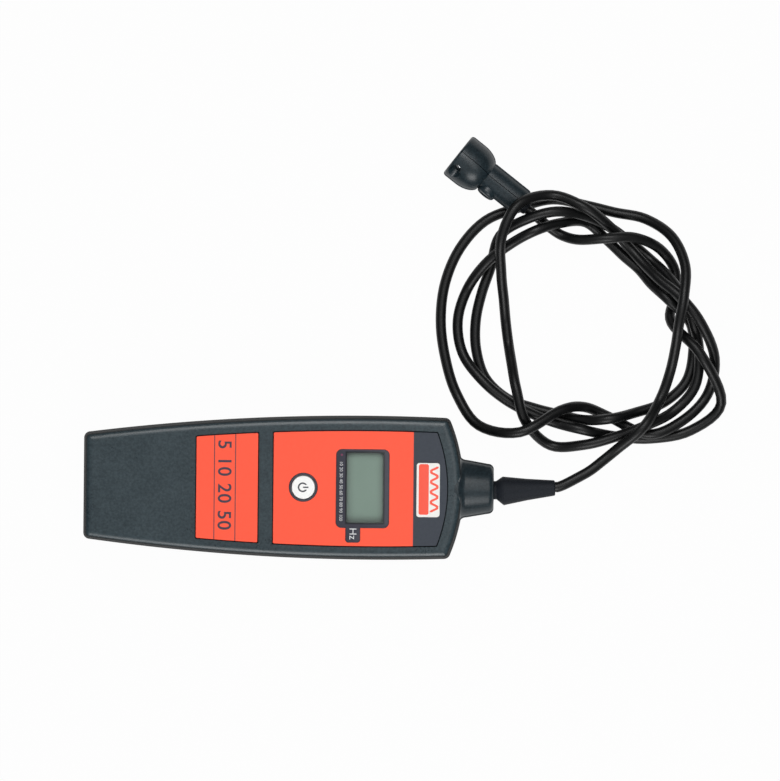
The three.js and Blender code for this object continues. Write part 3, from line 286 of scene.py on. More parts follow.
def paint(red, green, blue):
    """A colour written as on a screen, 0 to 255, turned into the linear values that Blender uses."""
    screen = np.array([red, green, blue]) / 255
    linear = np.where(screen <= 0.04045, screen / 12.92, ((screen + 0.055) / 1.055) ** 2.4)
    return (*linear.tolist(), 1.0)


print("the middle grey of a screen is", round(paint(128, 128, 128)[0], 3), "in linear light")

# %% [markdown]
# ## Finishes
# The case is moulded in a tool with a fine spark-eroded grain, so it has a dull sheen and faint
# cloudy patches where the grain is shallower. Rubber is darker and duller, and the cable's sheath is
# almost black. These finishes differ only in colour, sheen and grain, so one function makes them.
# The walls of the case and the trenches round its labels are coarser than the face, and a painted shade
# darkens them; the lower part of the collar gets half of that painted shade.

# %% Moulded plastics and rubbers
speckle_share = 0.7
cloud_sheen, speckle_sheen = 0.12, 0.06
# The last value is the near black of the painted shade on the walls and in the trenches.
wall_blend, wall_coarse, painted_wall_shade = 0.7, 0.55, (14, 17, 19)


def moulded(name, dark, light, roughness, grain, depth, cloud=14, sheen=0.4, wall_top=None, wall_shade_share=0):
    """Colour wanders between two shades with a cloudy noise and a fine speckle of the grain's size,
    the sheen wanders with it, and the grain lifts the surface by the given depth. Below the top of
    the wall, if one is given, the surface is coarser, and a painted shade darkens it by the given share."""
    shader = Shader(name)
    speckle = shader.noise(grain, detail=3, rough=0.6)
    cloudy = shader.noise(cloud)
    shares = speckle.over(0.5, 0.35) * speckle_share + cloudy.over(0.5, 0.6) * (1 - speckle_share)
    shade = shader.colour(shares, dark, light)
    coarse = cloudy * cloud_sheen + speckle * speckle_sheen + (roughness - (cloud_sheen + speckle_sheen) / 2)
    if wall_top:
        wall = shader.axes()[2].below(wall_top, wall_blend)
        coarse = coarse + wall * wall_coarse
        # Painted shade: below the wall's top the colour is darkened towards near black, by the given share.
        shade = shader.colour(wall * wall_shade_share, shade, painted_wall_shade)
    return shader.set(Base_Color=shade, Roughness=coarse, Normal=shader.bump(speckle, depth),
                      Specular_IOR_Level=sheen).material


slate = (24, 38, 44), (50, 64, 70)
# The collar and the head take a darker copy of the slate as painted shade, for the dimmer light they catch.
shaded_slate = (17, 27, 32), (38, 50, 56)

# After the two shades: the roughness, and the size and depth of the grain.
finishes = {
    "case_plastic": moulded("slate plastic", *slate, 0.3, 1.2, 0.02, sheen=0.42, wall_top=31, wall_shade_share=1),
    "black_plastic": moulded("black plastic", (20, 22, 25), (34, 37, 40), 0.45, 0.5, 0.03),
    "white_plastic": moulded("white plastic", (226, 227, 224), (242, 242, 239), 0.38, 0.8, 0.01),
    "rubber": moulded("black rubber", (20, 24, 30), (29, 33, 40), 0.6, 0.7, 0.03, 9, sheen=0.2),
    "cable": moulded("cable sheath", (4, 5, 6), (9, 10, 11), 0.4, 5, 0.002, 30, sheen=0.3),
    "foam": moulded("foam", (40, 42, 45), (74, 76, 80), 0.95, 0.6, 0.3),
    "chip": moulded("moulding compound", (20, 21, 22), (33, 34, 35), 0.6, 0.2, 0.02),
    "red_wire": moulded("wire sleeve", (150, 32, 26), (178, 44, 34), 0.4, 1, 0.01),
    "battery_case": moulded("battery jacket", (52, 58, 66), (66, 72, 80), 0.3, 2, 0.01),
}
# Below 20.5 mm the collar gets half of the painted wall shade.
collar_plastic = moulded("collar plastic", *shaded_slate, 0.31, 1.1, 0.012, sheen=0.33, wall_top=20.5,
                         wall_shade_share=0.5)
head_plastic = moulded("head plastic", *shaded_slate, 0.32, 1.1, 0.012, sheen=0.36, wall_top=15.5)
print("moulded finishes:", len(finishes))

# %% [markdown]
# Screws are zinc-plated steel: bright, with a fine brushed streak. The lenses of the lamps are
# tinted resin, and the circuit board is green lacquer over copper tracks.

# %% Metal, board and lenses
steel = Shader("plated steel")
streak = steel.noise(0.25, detail=4)
steel.set(Base_Color=steel.colour(streak, (150, 153, 156), (196, 198, 200)), Metallic=1.0,
          Roughness=streak * 0.2 + 0.2, Normal=steel.bump(streak, 0.01))
finishes["steel"] = steel.material

board = Shader("lacquered board")
track_pitch = 2.5
track = board.axes()[1].math("PINGPONG", track_pitch / 2).below(0.4, 0.1)
lacquer = board.noise(6)
green = board.colour(lacquer, (18, 74, 44), (26, 92, 56))
board.set(Base_Color=board.colour(track, green, (44, 120, 74)), Roughness=lacquer * 0.1 + 0.3,
          Normal=board.bump(track, 0.03))
finishes["board"] = board.material


def tinted(name, size, dark, light, roughness, wander=0):
    """Two near shades follow a noise, and so does the roughness where wander is given."""
    shader = Shader(name)
    tint = shader.noise(size)
    return shader.set(Base_Color=shader.colour(tint, dark, light),
                      Roughness=tint * wander + roughness if wander else roughness).material


lens_look = 0.06, 0.06
finishes["clear_lens"] = tinted("clear lens", 1.2, (196, 204, 212), (226, 232, 238), *lens_look)
finishes["dark_lens"] = tinted("dark lens", 1.2, (30, 22, 36), (52, 40, 60), *lens_look)
finishes["red_lens"] = tinted("red lens", 1.2, (150, 20, 16), (196, 40, 30), *lens_look)
print("finishes so far:", len(finishes))

# %% [markdown]
# ## Patches that weld into closed shells
# Every new piece is put together from three kinds of patch: a grid of quads through rows of points,
# one outline at several heights, and a flat face with holes. Patches that share an outline share its
# points, so welding closes the shell without a gap.

# %% Patches
def raised(loop, z):
    """The points of a flat outline, at one height."""
    return np.c_[loop, np.full(len(loop), z)]


class Shape:
    """Collects patches in millimetres."""

    def __init__(self):
        self.points = []
        self.faces = []
        self.count = 0

    def add(self, points, faces):
        """Adds points and the faces that count them from 0."""
        self.points.append(np.asarray(points, float))
        self.faces += (np.asarray(faces) + self.count).tolist()
        self.count += len(points)

    def grid(self, rows, around=True):
        """Quads between neighbouring points of neighbouring rows. Around joins the last column to
        the first."""
        rows = np.asarray(rows, float)
        index = np.arange(rows.shape[0] * rows.shape[1]).reshape(rows.shape[:2])
        if around:
            index = np.c_[index, index[:, :1]]
        quads = np.stack([index[:-1, :-1], index[:-1, 1:], index[1:, 1:], index[1:, :-1]], axis=-1)
        self.add(rows.reshape(-1, 3), quads.reshape(-1, 4))

    def steps(self, outline, pairs):
        """The outline, grown by the first number of each pair, at the height that is the second."""
        self.grid([raised(outline(grow), z) for grow, z in pairs])

    def flat(self, z, *loops):
        """The flat area inside the first loop and outside the others."""
        rings = [raised(loop, z) for loop in loops]
        self.add(np.vstack(rings), tessellate_polygon([ring.tolist() for ring in rings]))

    def moved(self, change):
        """The same patches with a function applied to all their points."""
        self.points = [change(points) for points in self.points]
        return self

    def mesh(self, name):
        """All patches in one mesh, welded and in metres."""
        mesh = bpy.data.meshes.new(name)
        mesh.from_pydata((np.vstack(self.points) * MM).tolist(), [], self.faces)
        return finish_mesh(mesh)


# %% Arcs and roundings
def arc(centre, radius, first, last, steps):
    """Points on a circle from one angle to another."""
    angle = np.linspace(first, last, steps + 1)
    return np.stack([centre[0] + radius * np.cos(angle), centre[1] + radius * np.sin(angle)], axis=1)


def circle(centre, radius, sides=96):
    """Points once round a circle, each of them once."""
    return arc(centre, radius, 0, math.tau, sides)[:-1]


quarter = math.pi / 2


def rounding(first, last, out, steps=6):
    """Points on a quarter of an ellipse between two points. It leaves the first along the first
    coordinate when out is true, and along the second when it is false."""
    a = np.linspace(0, quarter, steps + 1)[:, None]
    first, last = np.array(first, float), np.array(last, float)
    share = np.hstack([np.sin(a), 1 - np.cos(a)] if out else [1 - np.cos(a), np.sin(a)])
    return first + (last - first) * share


# %% Finished objects
weld_distance = 0.002
smooth_under = math.radians(35)


def finish_mesh(mesh):
    """Welds the mesh, turns its faces outwards and smooths every edge under 35 degrees."""
    work = bmesh.new()
    work.from_mesh(mesh)
    bmesh.ops.remove_doubles(work, verts=work.verts, dist=weld_distance * MM)
    bmesh.ops.recalc_face_normals(work, faces=work.faces)
    work.to_mesh(mesh)
    work.free()
    mesh.shade_smooth()
    mesh.set_sharp_from_angle(angle=smooth_under)
    return mesh


def piece(name, mesh, slot, stands_for=(), body="handset", material=None):
    """An object at the origin that rides on a body, stands for CAD nodes and has a finish."""
    made = new_object(name, mesh)
    mesh.materials.clear()
    mesh.materials.append(material or finishes[slot])
    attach(made, body)
    if stands_for:
        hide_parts(*stands_for)
    print(name, "faces:", len(mesh.polygons))
    return made


def shaped(name, shape, slot, stands_for=(), **more):
    """A Shape made into an object."""
    return piece(name, shape.mesh(name), slot, stands_for, **more)


# %% [markdown]
# ## The outline of the case
# Seen from above, each flank is a shallow parabola, widest 47 mm from the middle towards the nose,
# and the nose is an arc of 87 mm radius. The labels keep a constant distance from these edges, so
# one function gives the outline of the case and of both labels.

# %% Case outline
tail_x, nose_x = -95, 95
widest_x = 47
widest_half, tail_half = 36, 26.5
nose_radius = 87
case_top, seam_top, case_draft = 32, 15.15, 1.3
edge_run, edge_drop, back_radius = 3.6, 1.9, 1.6
case_corner, least_corner = 3.2, 0.8
wall = 2.4
flank_steps, corner_steps, bow_steps, search_rounds = 36, 8, 36, 8
bow_x = nose_x - nose_radius


def flank(x):
    """Half the width at x: the widest half width less a share that grows with the square of the
    distance from the widest place."""
    return widest_half - (widest_half - tail_half) * ((x - widest_x) / (tail_x - widest_x)) ** 2


print("half width at the nose in mm:", round(flank(nose_x), 2))


def case_outline(inset, start, end=None, nose_inset=None, corner=case_corner):
    """Counter-clockwise points: a round corner, a flank that follows the parabola, another corner,
    the bowed nose or a straight end, and the mirror image of these back to the tail. The corner at
    the nose touches both the flank and the bow, so its place is found in a few rounds."""
    bow = nose_radius - (inset if nose_inset is None else nose_inset)
    x = nose_x - corner if end is None else end - corner
    last = 0
    if end is None:
        for _ in range(search_rounds):
            y = flank(x) - inset - corner
            x = bow_x + math.sqrt((bow - corner) ** 2 - y * y)
        last = math.atan2(y, x - bow_x)
    tail = start + corner
    between = np.linspace(tail, x, flank_steps + 1)[1:-1]
    half = np.vstack([
        arc((tail, flank(tail) - inset - corner), corner, 2 * quarter, quarter, corner_steps),
        np.stack([between, flank(between) - inset], axis=1),
        arc((x, flank(x) - inset - corner), corner, quarter, last, corner_steps),
    ])
    lower = half[::-1] * [1, -1]
    if end is not None:
        return np.vstack([half, lower])[::-1]
    reach = math.atan2(half[-1][1], half[-1][0] - bow_x)
    return np.vstack([half, arc((bow_x, 0), bow, reach, -reach, bow_steps)[1:-1], lower])[::-1]


def case_loop(grow):
    """The case outline, grown outwards by the given amount (or inset, where it is below zero)."""
    return case_outline(-grow, tail_x - grow, corner=max(case_corner + grow, least_corner))


# %% Outlines on the face
label_inset, label_nose_inset, label_corner = 7.3, 8.3, 0.6
label_shift = np.array([0, -0.4])
main_start = 0
reference_start, reference_end = -38.5, -7.8
window_middle, window_half_width, window_half_height, window_corner = 44.5, 13.25, 19.6, 2.8
window_shift = -0.4
tab_middle, tab_half_width, tab_end, tab_corner = 39.8, 3.65, -27.28, 1.4
view_middle, view_half_width, view_half_height, view_corner = 45.7, 9.2, 17.5, 0.4
button_x, button_radius, ring_inside, ring_outside = 14.9, 5.8, 6.1, 7.15


def main_loop(grow):
    """The case outline set inwards and cut off at a straight end: the large label."""
    return label_shift + case_outline(label_inset - grow, main_start - grow, None,
                                      label_nose_inset - grow, label_corner)


def reference_loop(grow):
    """The same border between two straight ends: the smaller label."""
    return label_shift + case_outline(label_inset - grow, reference_start - grow, reference_end + grow,
                                      corner=label_corner)


# %% Outlines of plates
def plate_loop(middle_x, middle_y, half_width, half_height, corner):
    """A rectangle with round corners, counter-clockwise: a quarter circle about each inner corner."""
    x, y = half_width - corner, half_height - corner
    return np.vstack([
        arc((middle_x + turn_x, middle_y + turn_y), corner, k * quarter, (k + 1) * quarter, corner_steps)
        for k, (turn_x, turn_y) in enumerate([(x, y), (-x, y), (-x, -y), (x, -y)])
    ])


def window_loop(grow):
    """The rounded window with the tab below it, as one outline: the tab's two corners come between
    the window's lower two."""
    pane = plate_loop(window_middle, window_shift, window_half_width + grow, window_half_height + grow,
                      window_corner + grow)
    lower_right = 3 * (corner_steps + 1)
    side, low = tab_half_width + grow, window_shift - window_half_height - grow
    end, round_ = tab_end - grow, tab_corner + grow
    tab = np.vstack([
        [[tab_middle - side, low]],
        arc((tab_middle - side + round_, end + round_), round_, 2 * quarter, 3 * quarter, corner_steps),
        arc((tab_middle + side - round_, end + round_), round_, 3 * quarter, 4 * quarter, corner_steps),
        [[tab_middle + side, low]],
    ])
    return np.vstack([pane[:lower_right], tab, pane[lower_right:]])


def view_loop(grow):
    """The rectangle of the display that the window's print leaves free."""
    return plate_loop(view_middle, 0, view_half_width + grow, view_half_height + grow, view_corner + grow)


def ring_loop(grow):
    """The circle of the ring round the button."""
    return circle((button_x, 0), ring_outside + grow)


print("points round the case:", len(case_loop(0)), "round the window:", len(window_loop(0)))

# %% [markdown]
# ## Top shell
# The top half of the case has drafted walls, a rounded edge, and shallow pockets for the two
# labels, with a deeper one for the window and a stepped hole for the button. A narrow trench runs
# round each label and shows as a dark line, from its own shadow and from the painted shade on its
# floor. A boolean would cut all this too, but steps of one outline give clean edges, each with a
# small chamfer that catches light.

# %% Top shell
pocket_floor, pocket_gap, chamfer = 31.6, 0.45, 0.15
# The trench floor lies below 31 mm, where the painted wall shade darkens it.
trench_floor, trench_under = 30.5, 0.2
window_floor, ring_floor, ceiling = 30.6, 30.3, 29.6
fit, hole_gap = 0.1, 0.05
seam_edge, flat_rim = 0.2, 0.5

top = Shape()
edge_start = (-case_draft, case_top - edge_drop)
edge_end = (-case_draft - edge_run, case_top)
flat_start = edge_end[0] - flat_rim
top.steps(case_loop, [
    (-wall - case_draft, ceiling), (-wall, seam_top), (-seam_edge, seam_top), (0, seam_top + seam_edge),
    *rounding(edge_start, edge_end, out=False, steps=14), (flat_start, case_top),
])
pocket_edge = [
    (pocket_gap + chamfer, case_top), (pocket_gap, case_top - chamfer), (pocket_gap, trench_floor),
    (-trench_under, trench_floor), (-trench_under, pocket_floor),
]
for loop in (main_loop, reference_loop):
    top.steps(loop, pocket_edge)
top.flat(case_top, case_loop(flat_start), main_loop(pocket_gap + chamfer),
         reference_loop(pocket_gap + chamfer))
top.flat(pocket_floor, reference_loop(-trench_under))
top.flat(pocket_floor, main_loop(-trench_under), window_loop(fit), ring_loop(fit))
top.steps(window_loop, [(fit, pocket_floor), (fit, window_floor)])
top.flat(window_floor, window_loop(fit), view_loop(fit))
top.steps(view_loop, [(fit, window_floor), (fit, ceiling)])
stem = ring_inside - ring_outside + hole_gap
top.steps(ring_loop, [(fit, pocket_floor), (fit, ring_floor)])
top.flat(ring_floor, ring_loop(fit), ring_loop(stem))
top.steps(ring_loop, [(stem, ring_floor), (stem, ceiling)])
top.flat(ceiling, case_loop(-wall - case_draft), view_loop(fit), ring_loop(stem))
shaped("top_case", top, "case_plastic", ["top_shell"])

# %% [markdown]
# ## Bottom shell and battery door
# The back has a doorway, notches and screw wells, which the CAD model already holds exactly. Their
# meshes are copied, welded and smoothed, and the door's edges are rounded with a bevel, so that it
# looks moulded and not sawn.

# %% Copies of CAD nodes
def softened(name, node, slot, body="handset", edge=0):
    """The node's mesh, welded. Where edges are rounded, its flat triangles are joined first."""
    mesh = finish_mesh(nodes[node].data.copy())
    made = piece(name, mesh, slot, [node], body)
    if edge:
        work = bmesh.new()
        work.from_mesh(mesh)
        bmesh.ops.dissolve_limit(work, angle_limit=math.radians(1), verts=work.verts, edges=work.edges)
        work.to_mesh(mesh)
        work.free()
        bevel = made.modifiers.new("rounded edges", "BEVEL")
        bevel.width = edge * MM
        bevel.segments = 2
        bevel.angle_limit = smooth_under


# The bottom shell and the door lie wholly below 31 mm, so the painted wall shade darkens all of them.
softened("bottom_case", "bottom_shell", "case_plastic")
softened("door_panel", "battery_door", "case_plastic", body="door", edge=0.25)

# %% [markdown]
# ## Printed labels
# Each label is a thin printed film in its pocket. The large one is red with a slate grey end, and
# has holes for the window and the button. Its colours follow the place on the case, so the border
# between them is a step in x, and fine ink mottle breaks up the flat red.

# %% Label films
label_bottom, label_top, label_edge = 31.65, 31.95, 0.06
red_end = 69.8
ink = 0.12
red_print = [(248, 82, 54), (254, 89, 60)]
slate_print = [(44, 50, 60), (54, 60, 70)]


def plate(loop, bottom, top, edge, steps=6, holes=()):
    """A flat plate: its outline rises to an edge that is rounded in steps. Its holes are upright."""
    shape = Shape()
    shape.steps(loop, [(0, bottom), *rounding((0, top - edge), (-edge, top), out=False, steps=steps)])
    for hole in holes:
        shape.steps(hole, [(fit, bottom), (fit, top)])
    for z, grow in ((bottom, 0), (top, -edge)):
        shape.flat(z, loop(grow), *[hole(fit) for hole in holes])
    return shape


def film(name, mask_of):
    """A printed film: two inks divided by a mask, each with a faint mottle."""
    shader = Shader(name)
    mottle = shader.noise(1.4, detail=4)
    inks = [shader.colour(mottle, *pair) for pair in (red_print, slate_print)]
    grain = shader.noise(0.35)
    return shader.set(Base_Color=shader.colour(mask_of(shader), *inks), Roughness=mottle * 0.1 + 0.4,
                      Normal=shader.bump(grain, 0.012), Specular_IOR_Level=0.35).material


finishes["label_film"] = film("printed film", lambda shader: shader.axes()[0].over(red_end, ink))

main_label = plate(main_loop, label_bottom, label_top, label_edge, steps=1, holes=(window_loop, ring_loop))
shaped("main_label_film", main_label, "label_film", ["main_label"])

# %% [markdown]
# The smaller label has three fields divided by thin dark lines. The middle field carries plain
# numerals in a dark ink.

# %% Reference label
field_lines = (-29.5, -19)
field_line_half = 0.22


def reference_print(shader):
    """1 on the field lines, 0 elsewhere."""
    x = shader.axes()[0]
    first, second = (abs(x - place).below(field_line_half, ink) for place in field_lines)
    return first + second


reference = plate(reference_loop, label_bottom, label_top, label_edge, steps=1)
shaped("reference_label_film", reference, "label_film", ["reference_label"],
       material=film("printed reference film", reference_print))


# %% Raised ink for numerals and units
ink_height = 0.02


def baked_mesh(made):
    """A mesh of the object as it looks, with its modifiers applied or its letters filled."""
    bpy.context.view_layer.update()
    return bpy.data.meshes.new_from_object(made.evaluated_get(bpy.context.evaluated_depsgraph_get()))


def move_mesh(mesh, change):
    """Applies a function to all points of a mesh, in millimetres."""
    points = np.empty(3 * len(mesh.vertices), np.float32)
    mesh.vertices.foreach_get("co", points)
    points = change(points.reshape(-1, 3).astype(float) / MM) * MM
    mesh.vertices.foreach_set("co", points.astype(np.float32).ravel())


def print_text(name, words, place, height, material, slot, surface, weight=0, spread=1):
    """Flat text, made a mesh, turned so that its top points to the nose, and set on the surface."""
    letters = bpy.data.curves.new(name, "FONT")
    letters.body = words
    letters.size = height * MM
    letters.extrude = ink_height * MM
    letters.offset = weight * MM
    letters.space_character = spread
    letters.align_x = letters.align_y = "CENTER"
    source = new_object(name, letters)
    mesh = baked_mesh(source)
    bpy.data.objects.remove(source)
    move_mesh(mesh, lambda p: p @ turn_about(2, -quarter).T + [*place, surface + ink_height])
    return piece(name, mesh, slot, material=material)


# %% Numerals on the reference label
dark_ink = tinted("dark ink", 0.8, (46, 40, 56), (58, 50, 66), 0.4)
numerals_place = (-24.7, 0.8)
print_text("numerals", "5 10 20 50", numerals_place, 9.4, dark_ink, "label_film", label_top, weight=0.12,
           spread=1.1)

# %% [markdown]
# ## Display window
# The window is one clear plate, printed from behind with a dark border that leaves a view free and
# runs down into a tab for the unit. The same plate is clear or printed by one mask, so it is one
# shader: its alpha falls from 1 on the print to almost nothing over the view.

# %% Window plate
window_bottom, window_top, window_edge = 30.7, 31.9, 0.25
window = plate(window_loop, window_bottom, window_top, window_edge)

glass = Shader("printed window")
x, y, _ = glass.axes()
clear = abs(x - view_middle).below(view_half_width, ink) * abs(y).below(view_half_height, ink)
dot_x, dot_y, dot_radius = 34, 16.4, 0.55
rim_width = 0.7
dot_square = (x - dot_x) * (x - dot_x) + (y - dot_y) * (y - dot_y)
dot = dot_square.below(dot_radius**2, 0.2)
near_x = abs(x - view_middle).below(view_half_width + rim_width, 0.4)
rim = near_x * abs(y).below(view_half_height + rim_width, 0.4)
border = glass.colour(glass.noise(3), (50, 50, 60), (57, 57, 68))
border = glass.colour(rim, border, (30, 32, 38))
glass.set(Base_Color=glass.colour(dot, border, (116, 58, 84)), Roughness=glass.noise(40) * 0.05 + 0.2,
          Alpha=1 - clear * 0.93, Specular_IOR_Level=0.35)
finishes["window"] = glass.material
shaped("window_plate", window, "window", ["display_window"])

# %% Scale and unit in white
white_ink = tinted("white ink", 0.6, (214, 216, 218), (232, 233, 234), 0.4)
scale_place = (33.7, -1.7)
scale_words = "10 20 30 40 50 60 70 80 90 100"
print_text("scale_print", scale_words, scale_place, 2.3, white_ink, "window", window_top, weight=-0.03)
unit_place = (tab_middle - 0.1, -22.9)
print_text("unit_print", "Hz", unit_place, 5.2, white_ink, "window", window_top, weight=-0.05)

# %% [markdown]
# Behind the window lies the liquid crystal display. It is switched off and shows plain greenish
# grey glass that reflects a little. Its edges are darker by a painted shadow of the window's border:
# a formula of the place gives that painted shadow, so the plain solid of the CAD model needs no other shape.

# %% Liquid crystal display
lcd = Shader("liquid crystal")
x, y, _ = lcd.axes()
frost = lcd.noise(0.6, detail=3)
broad = lcd.noise(30)
shade_inset, shade_soft = 2, 5.2
# Painted shadow: the glass darkens towards its edges, as if shaded by the window's border.
painted_side_shadow = abs(x - view_middle).over(view_half_width - shade_inset, shade_soft)
painted_end_shadow = abs(y).over(view_half_height - shade_inset, shade_soft)
painted_edge_shadow = painted_side_shadow * painted_side_shadow + painted_end_shadow * painted_end_shadow
panel = lcd.colour(frost * 0.5 + broad * 0.5, (126, 148, 135), (136, 159, 146))
lcd.set(Base_Color=lcd.colour(painted_edge_shadow * 0.9, panel, (88, 100, 95)), Roughness=frost * 0.1 + 0.3)
finishes["display"] = lcd.material

# %% [markdown]
# ## Power button and its ring
# The button is a turned shape: a profile carried round an upright line. It is slightly crowned, has
# a soft edge, and rides on its own body, so that it sinks when it is pressed. The power sign is
# printed on it: a ring of ink with a gap, and a bar that points to the nose.

# %% Turned shapes
def turned(profile, sides=96, closed=False):
    """A profile of (place along the axis, radius) carried round the x axis. The angle goes once
    round, and every ring has the same number of points."""
    along, radius = np.array(profile, float).T
    if closed:
        along, radius = np.r_[along, along[0]], np.r_[radius, radius[0]]
    angle = math.tau / sides * np.arange(sides)
    shape = Shape()
    shape.grid(np.stack(np.broadcast_arrays(
        along[:, None], radius[:, None] * np.cos(angle), radius[:, None] * np.sin(angle)), axis=-1))
    return shape


def upright(points):
    """Turns the x axis upright and moves it to the middle of the button."""
    return points[:, [1, 2, 0]] + [button_x, 0, 0]


def round_end(end, radius, size, steps=6):
    """The rounded edge where the side of a turned shape, at this radius, meets its end."""
    return rounding((end - size, radius), (end, radius - size), out=True, steps=steps)


# %% Power button
button_top, button_edge, button_crown = 32.6, 0.5, 0.2
stem_bottom, stem_radius = 26.9, 1.5
flange_bottom, flange_top, flange_radius = 28.1, 29, 6.85
crown_steps = np.linspace(0.9, 0, 10)
button = turned([
    (stem_bottom, 0), (stem_bottom, stem_radius), (flange_bottom, stem_radius),
    (flange_bottom, flange_radius), (flange_top, flange_radius), (flange_top, button_radius),
    *round_end(button_top, button_radius, button_edge),
    *[(button_top + button_crown * (1 - s * s), (button_radius - button_edge) * s) for s in crown_steps],
]).moved(upright)

# %% The power sign in ink
cap = Shader("printed button")
x, y, _ = cap.axes()
sign_x, sign_radius, stroke = button_x - 0.3, 2.05, 0.4
reach_x, reach_y = x - sign_x, abs(y)
distance = (reach_x * reach_x + reach_y * reach_y).math("SQRT")
gap = reach_x.over(0.9, ink) * reach_y.below(1.15, ink)
sign_ring = abs(distance - sign_radius).below(stroke, ink) * (1 - gap)
sign_bar = reach_y.below(stroke * 0.9, ink) * reach_x.over(0.2, ink) * reach_x.below(2.9, ink)
white = cap.colour(cap.noise(1), (236, 237, 235), (246, 246, 244))
cap.set(Base_Color=cap.colour(sign_ring.math("MAXIMUM", sign_bar), white, (58, 60, 68)),
        Roughness=cap.noise(2) * 0.1 + 0.33)
shaped("button_cap", button, "white_plastic", ["power_button"], body="button", material=cap.material)

# %% The ring round the button
ring_bottom, ring_top, outer_edge, inner_edge = 30.4, 32.3, 0.35, 0.25
ring = turned([
    (ring_bottom, ring_inside), (ring_bottom, ring_outside),
    *round_end(ring_top, ring_outside, outer_edge),
    *rounding((ring_top, ring_inside + inner_edge), (ring_top - inner_edge, ring_inside), out=False),
], closed=True).moved(upright)
ring_paint = moulded("ring plastic", (44, 46, 56), (58, 60, 70), 0.42, 0.4, 0.02)
shaped("button_surround", ring, "black_plastic", ["button_ring"], material=ring_paint)

# %% [markdown]
# ## Badge
# A small white plate is glued on the slate end of the label. It carries a plain sign for a
# vibrating belt: a red wave beside a plain red bar.

# %% Badge plate
badge_x, badge_y, badge_half_width, badge_half_height, badge_corner = 77.2, -0.8, 5.8, 13.5, 1.4
badge_print_y = -0.5
wave_x, wave_reach, wave_length, wave_half, wave_end = 80.2, 1.55, 5.1, 0.6, 11.4
bar_x, bar_half, bar_reach, bar_round = 75, 1.5, 11.65, 1
badge_bottom, badge_top, badge_edge = 32, 32.3, 0.1


def badge_loop(grow):
    """The rectangle of the badge."""
    return plate_loop(badge_x, badge_y, badge_half_width + grow, badge_half_height + grow,
                      badge_corner + grow)


badge = plate(badge_loop, badge_bottom, badge_top, badge_edge)

# %% The wave and the bar in ink
sign = Shader("printed badge")
x, y, _ = sign.axes()
y = y - badge_print_y
phase = y * (math.tau / wave_length)
slope = phase.math("COSINE") * (wave_reach * math.tau / wave_length)
stretch = (slope * slope + 1).math("SQRT")
aside = abs(x - (phase.math("SINE") * wave_reach + wave_x))
wave_line = aside.math("DIVIDE", stretch).below(wave_half, ink) * abs(y).below(wave_end, ink)
past_x = (abs(x - bar_x) - bar_half).math("MAXIMUM", 0)
past_y = (abs(y) - bar_reach).math("MAXIMUM", 0)
bar = (past_x * past_x + past_y * past_y).math("SQRT").below(bar_round, ink)
plate_white = sign.colour(sign.noise(1), (228, 227, 222), (240, 238, 234))
sign.set(Base_Color=sign.colour(wave_line + bar, plate_white, (244, 84, 62)),
         Roughness=sign.noise(2) * 0.1 + 0.3)
finishes["badge_film"] = sign.material
shaped("badge", badge, "badge_film", ["badge_plate"])

# %% [markdown]
# ## Collar
# The collar is a short tapered drum on the nose. Its foot has to meet a nose that is bowed seen
# from above and drafted seen from the side, in a small fillet. So the foot is worked out point by
# point round the drum: the place where a line along x meets the nose, moved out by the fillet.

# %% Where the collar meets the nose
cable_z = 16
collar_radius, collar_end, collar_reach_radius, collar_round, collar_bore = 14.4, 110, 12.5, 2.8, 5.3
fillet_rise, fillet_run, sunk = 1.7, 2.7, 1.5
bore_edge, bore_start = 0.4, nose_x - 3


def case_inset(z):
    """How far the wall stands back from the widest outline at a height: a straight draft from the
    seam, then the quarter circle of the upper or the lower edge."""
    above = z > seam_top
    height = np.where(above, case_top - z, z)
    radius = np.where(above, edge_drop, back_radius)
    straight = np.where(above, case_top - edge_drop - seam_top, seam_top - back_radius)
    draft = case_draft * np.clip(1 - (height - radius) / straight, 0, 1)
    into = np.clip(1 - height / radius, 0, 1)
    return draft + radius * (1 - np.sqrt(1 - into**2))


def nose_at(y, z):
    """The x at which the nose is met: the bow's circle, made smaller by the inset at this height."""
    return bow_x + np.sqrt((nose_radius - case_inset(z)) ** 2 - y**2)


# %% Drum with a fitted foot
collar_sides = 128
collar_angle = math.tau / collar_sides * np.arange(collar_sides)


def collar_ring(radius, past_nose=None, at=None):
    """A ring of the collar, either this far past the nose all round or at one x."""
    y, z = radius * np.cos(collar_angle), cable_z + radius * np.sin(collar_angle)
    x = np.full_like(y, at) if past_nose is None else nose_at(y, z) + past_nose
    return np.stack([x, y, z], axis=1)


fillet = rounding((0, fillet_rise), (fillet_run, 0), out=False, steps=10)
foot = [collar_ring(collar_radius + grow, past_nose=run) for run, grow in fillet]
inside_nose = collar_ring(collar_radius + fillet_rise, past_nose=-sunk)
drum = [
    *round_end(collar_end, collar_reach_radius, collar_round, steps=10),
    *rounding((collar_end, collar_bore + bore_edge), (collar_end - bore_edge, collar_bore), out=False),
    (bore_start, collar_bore),
]
collar = Shape()
collar.grid([inside_nose, *foot, *[collar_ring(r, at=x) for x, r in drum], inside_nose])
shaped("collar", collar, "case_plastic", ["nose_collar"], material=collar_plastic)

# %% [markdown]
# ## Strain relief
# A rubber sleeve keeps the cable from kinking where it leaves. A cone grows from its narrow neck to
# a sharp crest, and then it tapers down to the cable, which a turned profile gives directly. The
# sleeve sags a little to one side between the collar and the cable.

# %% Strain relief
sag_places, sag_widths = [0, 5, relief_tip], [-0.55, -1.15, -0.45]


def sagged(points):
    """Moves each ring sideways: by half a millimetre at both ends, and more at the crest."""
    along = np.clip(points[:, :1], 0, relief_tip)
    aside = np.interp(along, sag_places, sag_widths)
    return points + np.hstack([np.zeros_like(along), aside, np.zeros_like(along)])


